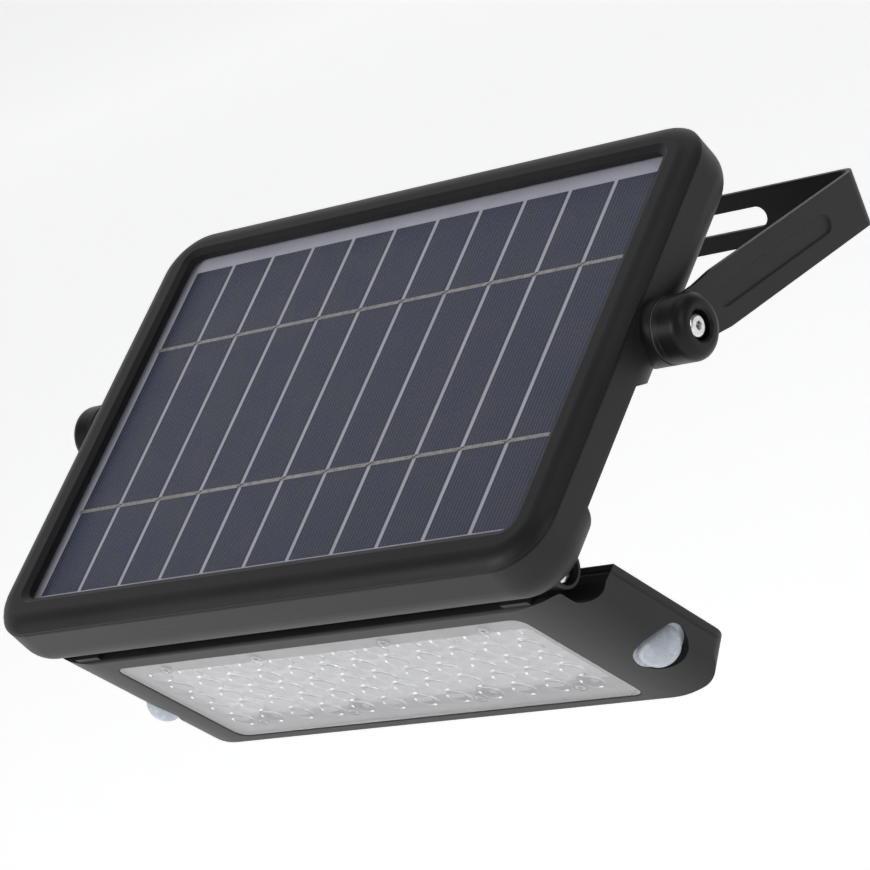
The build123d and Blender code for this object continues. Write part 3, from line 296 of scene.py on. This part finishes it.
def plain_moulding(name, dark, light, rough, grain=1800):
    """Small inner mouldings: grain, mottling and dull edges."""
    s = Shader(name)
    cloud = s.noise(70, 4, 0.6)
    colour = s.mix(s.remap(cloud, 0.3, 0.7), dark, light)
    rub = s.math("MULTIPLY", s.edges(0.0004), s.remap(s.noise(300, 4, 0.7), 0.4, 0.65))
    colour = s.mix(s.math("MULTIPLY", rub, 0.35), colour, [min(1, v * 1.6) for v in light])
    normal = s.bump(s.noise(grain, 2), 0.00003, strength=0.35)
    s.set(colour=colour, rough=s.math("MULTIPLY_ADD", cloud, 0.16, rough - 0.08), normal=normal)
    return s.material


def soft_rubber(name, dark, light):
    """Silicone and lead jackets: matt, faintly dusty."""
    s = Shader(name)
    cloud = s.noise(120, 5, 0.65)
    colour = s.mix(s.remap(cloud, 0.3, 0.7), dark, light)
    normal = s.bump(s.noise(2200, 2), 0.00003, strength=0.4)
    s.set(colour=colour, rough=s.math("MULTIPLY_ADD", cloud, 0.2, 0.55), normal=normal,
          specular=0.35)
    return s.material


# ------------------------------------------------------------------ metals
def drawn_metal(name, dark, light, rough, grain=(1.0, 40.0, 40.0),
                stain=(0.25, 0.23, 0.2)):
    """Plated or stainless metal with directional lines and faint stains."""
    s = Shader(name)
    lines = s.noise(90, 3, 0.6, vector=s.stretched(*grain))
    cloud = s.noise(160, 4, 0.6)
    colour = s.mix(s.remap(lines, 0.3, 0.7), dark, light)
    colour = s.mix(s.math("MULTIPLY", s.remap(cloud, 0.55, 0.8), 0.3), colour, stain)
    rough_map = s.math("MULTIPLY_ADD", lines, 0.16, rough - 0.08)
    normal = s.bump(lines, 0.00001, strength=0.3)
    s.set(colour=colour, rough=rough_map, metal=1.0, normal=normal)
    return s.material


# ------------------------------------------------------------------ solar laminate
def solar_cell(name):
    """Polycrystalline silicon: grains of different blues under fine silver fingers."""
    s = Shader(name, PANEL)
    warp = s.node("ShaderNodeVectorMath", operation="ADD")
    shake = s.node("ShaderNodeTexNoise")
    shake.inputs["Scale"].default_value = 160
    s.feed(shake.inputs["Vector"], s.place)
    soft = s.node("ShaderNodeVectorMath", operation="SCALE")
    s.feed(soft.inputs[0], shake.outputs["Color"])
    soft.inputs["Scale"].default_value = 0.004
    s.feed(warp.inputs[0], s.place)
    s.feed(warp.inputs[1], soft.outputs[0])
    big = s.voronoi(95, vector=warp.outputs[0], output="Color")
    small = s.voronoi(330, vector=warp.outputs[0], output="Color")
    grain = s.math("MULTIPLY_ADD", s.axis(0, small), 0.4, s.math("MULTIPLY", s.axis(1, big), 0.6))
    colour = s.mix(s.remap(grain, 0.15, 0.85), (0.0065, 0.0105, 0.033), (0.015, 0.022, 0.061))
    hue = s.remap(s.axis(2, big), 0.55, 0.95, 0.0, 0.45)
    colour = s.mix(hue, colour, (0.020, 0.018, 0.048))
    strip = s.math("ADD", s.math("DIVIDE", s.axis(0), STRIP_PITCH), STRIP_COUNT / 2)
    inside = s.math("SUBTRACT", s.math("FRACT", strip), 0.5)
    width = (STRIP_PITCH - STRIP_GAP) / STRIP_PITCH
    lanes = s.math("MULTIPLY", inside, FINGERS_PER_STRIP / width)
    finger = s.math("ABSOLUTE", s.math("SUBTRACT", s.math("FRACT", lanes), 0.5))
    finger = s.remap(finger, 0.13, 0.04)
    colour = s.mix(s.math("MULTIPLY", finger, 0.5), colour, (0.17, 0.19, 0.25))
    rim = s.remap(s.math("ABSOLUTE", inside), width / 2 - 0.045, width / 2 - 0.01)
    colour = s.mix(s.math("MULTIPLY", rim, 0.5), colour, (0.01, 0.012, 0.026))
    s.set(colour=colour, rough=s.remap(grain, 0.0, 1.0, 0.32, 0.5), specular=0.35,
          normal=s.bump(finger, 0.00003, strength=0.5))
    return s.material


def cell_ribbon(name):
    """Tinned ribbon, slightly uneven where it was soldered."""
    s = Shader(name, PANEL)
    solder = s.noise(420, 4, 0.65)
    along = s.noise(60, 3, 0.5, vector=s.stretched(1, 1, 30))
    colour = s.mix(s.remap(solder, 0.3, 0.7), (0.28, 0.28, 0.27), (0.50, 0.49, 0.47))
    colour = s.mix(s.math("MULTIPLY", s.remap(along, 0.55, 0.75), 0.4), colour, (0.16, 0.15, 0.14))
    s.set(colour=colour, rough=s.math("MULTIPLY_ADD", solder, 0.25, 0.3), metal=0.55,
          normal=s.bump(solder, 0.00006, strength=0.5))
    return s.material


def backing_sheet(name):
    """Lilac-white laminate sheet with the faint waves of lamination."""
    s = Shader(name, PANEL)
    wave = s.noise(45, 3, 0.5)
    fibre = s.noise(1500, 2, 0.6)
    colour = s.mix(s.remap(wave, 0.3, 0.7), (0.50, 0.505, 0.575), (0.55, 0.555, 0.63))
    colour = s.mix(s.math("MULTIPLY", s.remap(fibre, 0.4, 0.8), 0.12), colour, (0.62, 0.62, 0.68))
    s.set(colour=colour, rough=s.math("MULTIPLY_ADD", wave, 0.15, 0.42),
          normal=s.bump(wave, 0.00012, strength=0.3))
    return s.material


def solar_glazing(name):
    """Clear satin film: lets the cells show and carries a soft sheen, dust and hairlines."""
    s = Shader(name, PANEL)
    dust = s.remap(s.noise(260, 5, 0.72), 0.52, 0.8)
    smear = s.noise(9, 3, 0.5, distortion=1.5)
    rough = s.math("MULTIPLY_ADD", smear, 0.12, 0.16)
    s.set(colour=(0.85, 0.90, 1.0), rough=rough, specular=0.36,
          alpha=s.math("MULTIPLY_ADD", dust, 0.015, 0.018),
          normal=s.bump(s.noise(900, 2), 0.00002, strength=0.25))
    s.material.surface_render_method = "BLENDED"
    return s.material


# ------------------------------------------------------------------ lens and sensors
def clear_lens(name):
    """Clear moulded polycarbonate with flow marks."""
    s = Shader(name, HEAD)
    flow = s.noise(35, 3, 0.5, vector=s.stretched(1.0, 3.0, 1.0))
    haze = s.noise(500, 3, 0.6)
    s.set(colour=s.mix(s.remap(haze, 0.3, 0.7), (0.93, 0.93, 0.95), (0.97, 0.97, 0.98)),
          rough=s.math("MULTIPLY_ADD", flow, 0.06, 0.03), ior=1.2, transmission=0.8,
          normal=s.bump(flow, 0.00015, strength=0.25))
    return s.material


def white_moulding(name, low, high, rough):
    """White reflector and board lacquer."""
    s = Shader(name, HEAD)
    cloud = s.noise(60, 4, 0.6)
    s.set(colour=s.mix(s.remap(cloud, 0.3, 0.7), low, high),
          rough=s.math("MULTIPLY_ADD", cloud, 0.12, rough), specular=0.5,
          normal=s.bump(s.noise(900, 2), 0.00003, strength=0.3))
    return s.material


def led_phosphor(name):
    """Yellow phosphor window in a white package."""
    s = Shader(name, HEAD)
    grains = s.voronoi(6000)
    column = s.math("ADD", s.math("DIVIDE", s.axis(0), LED_PITCH_X), LED_COLUMNS / 2)
    from_first = s.math("SUBTRACT", s.axis(1), LED_FIRST_Y)
    row = s.math("ADD", s.math("DIVIDE", from_first, LED_PITCH_Y), 0.5)
    dx = s.math("MULTIPLY", s.math("SUBTRACT", s.math("FRACT", column), 0.5), LED_PITCH_X)
    dy = s.math("MULTIPLY", s.math("SUBTRACT", s.math("FRACT", row), 0.5), LED_PITCH_Y)
    away = s.math("SQRT", s.math("ADD", s.math("MULTIPLY", dx, dx), s.math("MULTIPLY", dy, dy)))
    window = s.remap(away, 0.00115, 0.00095)
    phosphor = s.mix(s.remap(grains, 0.1, 0.6), (0.72, 0.52, 0.10), (0.86, 0.68, 0.2))
    s.set(colour=s.mix(window, (0.78, 0.78, 0.76), phosphor),
          rough=s.remap(grains, 0, 1, 0.3, 0.5),
          normal=s.bump(window, 0.0001, strength=0.5))
    return s.material


def dome_space(side):
    """Frame of one motion sensor's dome, its z along the dome's axis."""
    axis = Vector((side * math.sin(DOME_TURN), 0, -math.cos(DOME_TURN)))
    turn = Vector((0, 0, 1)).rotation_difference(axis).to_matrix().to_4x4()
    return HEAD @ Matrix.Translation((side * DOME_AT[0], DOME_AT[1], DOME_AT[2])) @ turn


def milky_dome(name, side):
    """Translucent polyethylene dome with the moulded facets of its Fresnel lenses."""
    s = Shader(name, dome_space(side))
    unit = s.node("ShaderNodeVectorMath", operation="NORMALIZE")
    s.feed(unit.inputs[0], s.place)
    facet = s.voronoi(3.2, feature="DISTANCE_TO_EDGE", vector=unit.outputs[0])
    ridge = s.remap(facet, 0.0, 0.06)
    rings = s.voronoi(3.2, vector=unit.outputs[0])
    steps = s.math("FRACT", s.math("MULTIPLY", rings, 14))
    cloud = s.noise(220, 3, 0.6)
    colour = s.mix(s.remap(cloud, 0.3, 0.7), (0.40, 0.44, 0.49), (0.50, 0.54, 0.59))
    joint = s.math("SUBTRACT", 1.0, ridge)
    colour = s.mix(s.math("MULTIPLY", joint, 0.35), colour, (0.66, 0.70, 0.75))
    normal = s.bump(ridge, 0.00025, strength=0.5)
    normal = s.bump(steps, 0.00004, normal, 0.25)
    s.set(colour=colour, rough=s.math("MULTIPLY_ADD", cloud, 0.1, 0.22), normal=normal,
          subsurface=0.35, subsurface_scale=0.002, specular=0.5)
    s.bsdf.inputs["Subsurface Radius"].default_value = (1.0, 1.0, 1.0)
    return s.material


# ------------------------------------------------------------------ electronics and battery
def circuit_board(name):
    """Green solder mask over copper tracks and pads."""
    s = Shader(name, PANEL)
    blocks = s.voronoi(260, output="Color")
    tracks = s.remap(s.axis(0, blocks), 0.55, 0.6)
    lines = s.math("FRACT", s.math("MULTIPLY", s.axis(0), 700))
    lines = s.remap(s.math("ABSOLUTE", s.math("SUBTRACT", lines, 0.5)), 0.2, 0.25)
    copper = s.math("MULTIPLY", tracks, lines)
    colour = s.mix(s.math("MULTIPLY", copper, 0.6), (0.006, 0.06, 0.022), (0.02, 0.16, 0.06))
    s.set(colour=colour, rough=0.3, coat=0.3, coat_rough=0.15,
          normal=s.bump(copper, 0.00004, strength=0.5))
    return s.material


def battery_wrap(name):
    """Blue shrink sleeve with faint wrinkles near its ends."""
    s = Shader(name, PANEL)
    wrinkle = s.noise(120, 4, 0.6, vector=s.stretched(0.4, 2.0, 2.0))
    colour = s.mix(s.remap(wrinkle, 0.3, 0.7), (0.012, 0.06, 0.22), (0.02, 0.09, 0.30))
    s.set(colour=colour, rough=s.math("MULTIPLY_ADD", wrinkle, 0.15, 0.22),
          normal=s.bump(wrinkle, 0.00012, strength=0.4))
    return s.material


CASING_BLACK = ((0.008, 0.008, 0.0083), (0.014, 0.014, 0.0145))
HEAD_BLACK = ((0.010, 0.010, 0.0103), (0.016, 0.016, 0.0166))
MATERIALS = {
    "bracket_steel": powder_coat("bracket_steel"),
    "casing_plastic": moulded_plastic("casing_plastic", PANEL, *CASING_BLACK,
                                      seam=(1, CASE_SEAM_Y, 0.0006)),
    "head_plastic": moulded_plastic("head_plastic", HEAD, *HEAD_BLACK,
                                    seam=(2, COVER_SEAM_Z, 0.0008)),
    "cover_plastic": moulded_plastic("cover_plastic", HEAD, *HEAD_BLACK,
                                     seam=(2, COVER_SEAM_Z, 0.0008)),
    "solar_glazing": solar_glazing("solar_glazing"),
    "solar_cell": solar_cell("solar_cell"),
    "cell_ribbon": cell_ribbon("cell_ribbon"),
    "backing_sheet": backing_sheet("backing_sheet"),
    "seal_rubber": soft_rubber("seal_rubber", (0.008, 0.008, 0.008),
                               (0.016, 0.016, 0.016)),
    "fixing_steel": drawn_metal("fixing_steel", (0.30, 0.30, 0.31), (0.46, 0.46, 0.46), 0.34),
    "battery_wrap": battery_wrap("battery_wrap"),
    "inner_plastic": plain_moulding("inner_plastic", (0.02, 0.02, 0.02),
                                    (0.035, 0.035, 0.036), 0.5),
    "nickel": drawn_metal("nickel", (0.42, 0.41, 0.38), (0.6, 0.58, 0.54), 0.3),
    "circuit_board": circuit_board("circuit_board"),
    "electronic_parts": plain_moulding("electronic_parts", (0.012, 0.012, 0.013),
                                       (0.03, 0.03, 0.03), 0.4),
    "button_rubber": soft_rubber("button_rubber", (0.03, 0.03, 0.033), (0.05, 0.05, 0.055)),
    "knob_plastic": knob_plastic("knob_plastic"),
    "polished_steel": drawn_metal("polished_steel", (0.62, 0.62, 0.61), (0.82, 0.82, 0.80), 0.17,
                                  grain=(1.0, 6.0, 6.0), stain=(0.45, 0.43, 0.40)),
    "washer_fibre": plain_moulding("washer_fibre", (0.05, 0.05, 0.05), (0.09, 0.09, 0.09), 0.65),
    "lead_jacket": soft_rubber("lead_jacket", (0.009, 0.009, 0.01), (0.018, 0.018, 0.02)),
    "clear_lens": clear_lens("clear_lens"),
    "lens_fixing": drawn_metal("lens_fixing", (0.36, 0.36, 0.37), (0.55, 0.55, 0.56), 0.3),
    "reflector_white": white_moulding("reflector_white", (0.60, 0.60, 0.62),
                                      (0.68, 0.68, 0.70), 0.3),
    "led_board_white": white_moulding("led_board_white", (0.66, 0.67, 0.68),
                                      (0.74, 0.75, 0.76), 0.35),
    "led_phosphor": led_phosphor("led_phosphor"),
    "socket_plastic": plain_moulding("socket_plastic", (0.5, 0.48, 0.4),
                                     (0.62, 0.6, 0.52), 0.45),
    "sensor_metal": drawn_metal("sensor_metal", (0.42, 0.40, 0.34), (0.6, 0.58, 0.5), 0.3),
}
DOMES = {"sensor_dome_left": milky_dome("dome_milky_left", -1),
         "sensor_dome_right": milky_dome("dome_milky_right", 1)}


def dress_nodes():
    """Every CAD node takes the detailed material of its record slot."""
    for part in frame["record"]["subparts"]:
        node = nodes[part["node"]]
        material = DOMES.get(part["node"]) or MATERIALS[part["material_slot"]]
        node.data.materials.clear()
        node.data.materials.append(material)
        node.data.polygons.foreach_set("material_index", [0] * len(node.data.polygons))


# ------------------------------------------------------------------ extra pieces
def mesh_from(bm, name):
    """The finished mesh of bm, which is freed."""
    mesh = bpy.data.meshes.new(name)
    bm.to_mesh(mesh)
    bm.free()
    return mesh


def join_rings(bm, rings):
    """Four-sided faces between each ring of points and the next."""
    for near, far in zip(rings, rings[1:]):
        for k in range(len(near)):
            after = (k + 1) % len(near)
            bm.faces.new((near[k], near[after], far[after], far[k]))


def add_piece(name, mesh, space, body, slot):
    """Place a mesh drawn in one frame, and give it its body and its slot's material."""
    piece = bpy.data.objects.new(name, mesh)
    bpy.context.scene.collection.objects.link(piece)
    mesh.transform(space)
    mesh.materials.append(MATERIALS[slot])
    mesh.polygons.foreach_set("use_smooth", [True] * len(mesh.polygons))
    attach(piece, body)
    return piece


def lathe(bm, profile, centre, segments=28):
    """Turn a profile of (radius, height) pairs about a vertical axis."""
    rings = []
    for radius, height in profile:
        ring = []
        for k in range(segments):
            angle = 2 * math.pi * k / segments
            ring.append(bm.verts.new((centre[0] + radius * math.cos(angle),
                                      centre[1] + radius * math.sin(angle), centre[2] + height)))
        rings.append(ring)
    join_rings(bm, rings)


def led_places():
    """Centre of every LED, x and y in the head frame."""
    for row in range(LED_ROWS):
        for column in range(LED_COLUMNS):
            yield ((column - (LED_COLUMNS - 1) / 2) * LED_PITCH_X,
                   LED_FIRST_Y + row * LED_PITCH_Y)


def reflector_cups():
    """A flared white cup from the reflector down to each LED, bar the row by the fold."""
    bm = bmesh.new()
    flare = [(0.00428, 0.0062), (0.0041, 0.0066), (0.0035, 0.0072),
             (0.0028, 0.0078), (0.0023, 0.0083), (0.0023, 0.00838)]
    for x, y in led_places():
        if y - CUP_REACH > CUPS_FROM_Y:
            lathe(bm, flare, (x, y, 0))
    mesh = mesh_from(bm, "reflector_cups")
    add_piece("reflector_cups", mesh, HEAD, "lamp_head", "reflector_white")


def ribbon_gap_shade():
    """Small dark loops where each ribbon passes from one cell strip to the next: painted shade
    where the ribbon crosses the gap.
    """
    bm = bmesh.new()
    half_width = 0.00028
    reach = STRIP_GAP / 2 + 0.0004    # half length, on to the cells either side
    crown = 0.00004                   # how far the middle stands in front of the edges
    rise = RIBBON_FRONT_Y + 0.00001
    path = [(-reach, -0.0006), (-reach * 0.4, -0.0004), (reach * 0.4, 0.0004), (reach, 0.0006)]
    for side in (-1, 1):
        for gap in range(STRIP_COUNT - 1):
            x = (gap - (STRIP_COUNT - 2) / 2) * STRIP_PITCH
            z = side * RIBBON_Z
            rows = []
            for dx, dz in path:
                rows.append([bm.verts.new((x + dx, rise, z + dz - half_width)),
                             bm.verts.new((x + dx, rise - crown, z + dz)),
                             bm.verts.new((x + dx, rise, z + dz + half_width))])
            for a, b in zip(rows, rows[1:]):
                for k in range(2):
                    bm.faces.new((a[k], a[k + 1], b[k + 1], b[k]))
    mesh = mesh_from(bm, "ribbon_gap_shade")
    # painted shade: these marks take the near-black seal_rubber material, not the ribbon's tin
    add_piece("ribbon_gap_shade", mesh, PANEL, "panel", "seal_rubber")


def lens_highlight_marks():
    """Painted highlights: bright comma marks round each LED, on the outer face of the lens plate.

    Each is a thin arc, swollen towards both ends. They stand in for the highlights on
    the moulded rims of the lenses, so they carry a mirror-like material of their own.
    """
    bm = bmesh.new()
    for x, y in led_places():
        rings = []
        for k in range(RIM_STEPS + 1):
            turn = RIM_START + math.pi * k / RIM_STEPS
            end = abs(2 * k / RIM_STEPS - 1)
            swell = max(0.0, (end - RIM_SWELL_FROM) / (1 - RIM_SWELL_FROM)) ** 0.8
            tube = RIM_TIP if k in (0, RIM_STEPS) else RIM_THIN + RIM_SWELL * swell
            ring = []
            for j in range(RIM_SIDES):
                around = 2 * math.pi * j / RIM_SIDES
                radius = RIM_RADIUS + tube * math.cos(around)
                ring.append(bm.verts.new((x + radius * math.cos(turn),
                                          y + radius * math.sin(turn),
                                          RIM_Z + RIM_FLATNESS * tube * math.sin(around))))
            rings.append(ring)
        join_rings(bm, rings)
        bm.faces.new(rings[0][::-1])
        bm.faces.new(rings[-1])
    mesh = mesh_from(bm, "lens_highlight_marks")
    piece = add_piece("lens_highlight_marks", mesh, HEAD, "lamp_head", "reflector_white")
    # painted highlight: a near-white mirror material, so the marks shine as the lenses' glints
    piece.data.materials[0] = drawn_metal("painted_highlight_gloss", (0.93, 0.93, 0.95), (0.98, 0.98, 0.99),
                                          0.14, grain=(1.0, 6.0, 6.0), stain=(0.9, 0.9, 0.92))


def rounded_loop(half_x, y0, y1, corner, steps=10):
    """Points round a rectangle with round corners."""
    centres = [(half_x - corner, y1 - corner, 0), (-half_x + corner, y1 - corner, 90),
               (-half_x + corner, y0 + corner, 180), (half_x - corner, y0 + corner, 270)]
    points = []
    for cx, cy, start in centres:
        for k in range(steps + 1):
            angle = math.radians(start + 90 * k / steps)
            points.append((cx + corner * math.cos(angle), cy + corner * math.sin(angle)))
    return points


def lens_seal():
    """Dark bead of sealant round the lens plate, in its gap."""
    bm = bmesh.new()
    path = rounded_loop(LENS_HALF - SEAL_INSET, LENS_Y[0] + SEAL_INSET,
                        LENS_Y[1] - SEAL_INSET, LENS_CORNER)
    rings = []
    for index, (x, y) in enumerate(path):
        before = Vector(path[index - 1])
        after = Vector(path[(index + 1) % len(path)])
        along = (after - before).normalized()
        side = Vector((along.y, -along.x))
        ring = []
        for k in range(SEAL_SIDES):
            angle = 2 * math.pi * k / SEAL_SIDES
            out = SEAL_HALF_WIDTH * math.cos(angle)
            ring.append(bm.verts.new((x + side.x * out, y + side.y * out,
                                      SEAL_Z + SEAL_HALF_HEIGHT * math.sin(angle))))
        rings.append(ring)
    join_rings(bm, rings + rings[:1])
    mesh = mesh_from(bm, "lens_seal")
    add_piece("lens_seal", mesh, HEAD, "lamp_head", "seal_rubber")


# ------------------------------------------------------------------ stage
FLOOR_Z = -0.34
FLOOR_NEAR = -6.0                     # backdrop's front edge, before it is turned
CURVE_START = 4.0                     # where the floor starts to curve up
CURVE_RADIUS = 2.0
CURVE_STEPS = 12
WALL_TOP = 9.0
BACKDROP_HALF = 9                     # half its width
BACKDROP_TURN = math.radians(40)      # so that it faces the camera
BACKDROP_GLOW = 0.52
CAMERA_LENS = 157.56                  # millimetres, on a sensor 36 wide
CAMERA_RIGHT = (0.73286, 0.57814, -0.35870)
CAMERA_UP = (0.12549, 0.40332, 0.90641)
CAMERA_BACK = (0.66871, -0.70929, 0.22303)
CAMERA_AT = (0.9378, TILT_AXIS_Y - 0.9747, 0.2841)


def backdrop():
    """Seamless pale floor that curves up into a wall behind the object."""
    bm = bmesh.new()
    profile = [(FLOOR_NEAR, 0.0), (CURVE_START, 0.0)]
    for k in range(1, CURVE_STEPS + 1):
        angle = math.radians(90 * k / CURVE_STEPS)
        profile.append((CURVE_START + CURVE_RADIUS * math.sin(angle),
                        CURVE_RADIUS - CURVE_RADIUS * math.cos(angle)))
    profile.append((CURVE_START + CURVE_RADIUS, WALL_TOP))
    rows = [[bm.verts.new((x, y, FLOOR_Z + z)) for x in (-BACKDROP_HALF, BACKDROP_HALF)]
            for y, z in profile]
    for a, b in zip(rows, rows[1:]):
        bm.faces.new((a[0], a[1], b[1], b[0]))
    mesh = mesh_from(bm, "backdrop")
    mesh.polygons.foreach_set("use_smooth", [True] * len(mesh.polygons))
    s = Shader("backdrop_paper")
    s.set(colour=(0.93, 0.93, 0.93), rough=0.9, specular=0.1)
    s.bsdf.inputs["Emission Color"].default_value = (1, 1, 1, 1)
    s.bsdf.inputs["Emission Strength"].default_value = BACKDROP_GLOW
    mesh.materials.append(s.material)
    sheet = bpy.data.objects.new("backdrop", mesh)
    bpy.context.scene.collection.objects.link(sheet)
    sheet.rotation_euler = (0, 0, BACKDROP_TURN)


def soft_light(name, place, aim, size, power):
    """A white area light, size in metres and power in watts."""
    data = bpy.data.lights.new(name, "AREA")
    data.shape = "RECTANGLE"
    data.size = size[0]
    data.size_y = size[1]
    data.energy = power
    light = bpy.data.objects.new(name, data)
    light.location = place
    light.rotation_euler = (Vector(aim) - Vector(place)).to_track_quat("-Z", "Y").to_euler()
    bpy.context.scene.collection.objects.link(light)


def studio():
    """Faint bluish surroundings and four area lights."""
    world = bpy.data.worlds.new("studio")
    world.use_nodes = True
    around = world.node_tree.nodes["Background"]
    around.inputs["Color"].default_value = (0.93, 0.95, 1.0, 1)
    around.inputs["Strength"].default_value = 0.16
    bpy.context.scene.world = world
    middle = (0.0, -0.14, -0.03)
    soft_light("key", (-0.9, -2.2, 0.9), middle, (1.0, 1.0), 20)
    soft_light("side", (2.1, -0.5, 0.9), middle, (0.9, 1.4), 9)
    soft_light("over", (0.5, 0.6, 2.4), middle, (1.6, 1.6), 8)
    soft_light("under", (-0.35, -0.45, FLOOR_Z + 0.03), middle, (0.5, 0.4), 0.5)
    bpy.context.scene.view_settings.view_transform = "Standard"


def camera():
    """The photograph's camera, from the fit to its edges."""
    data = bpy.data.cameras.new("camera")
    data.lens = CAMERA_LENS
    data.sensor_width = 36.0
    data.clip_start = 0.05
    data.clip_end = 60.0
    view = bpy.data.objects.new("camera", data)
    place = Matrix((CAMERA_RIGHT, CAMERA_UP, CAMERA_BACK)).transposed().to_4x4()
    place.translation = CAMERA_AT
    view.matrix_world = place
    bpy.context.scene.collection.objects.link(view)
    bpy.context.scene.camera = view


dress_nodes()
reflector_cups()
ribbon_gap_shade()
lens_highlight_marks()
lens_seal()
backdrop()
studio()
camera()
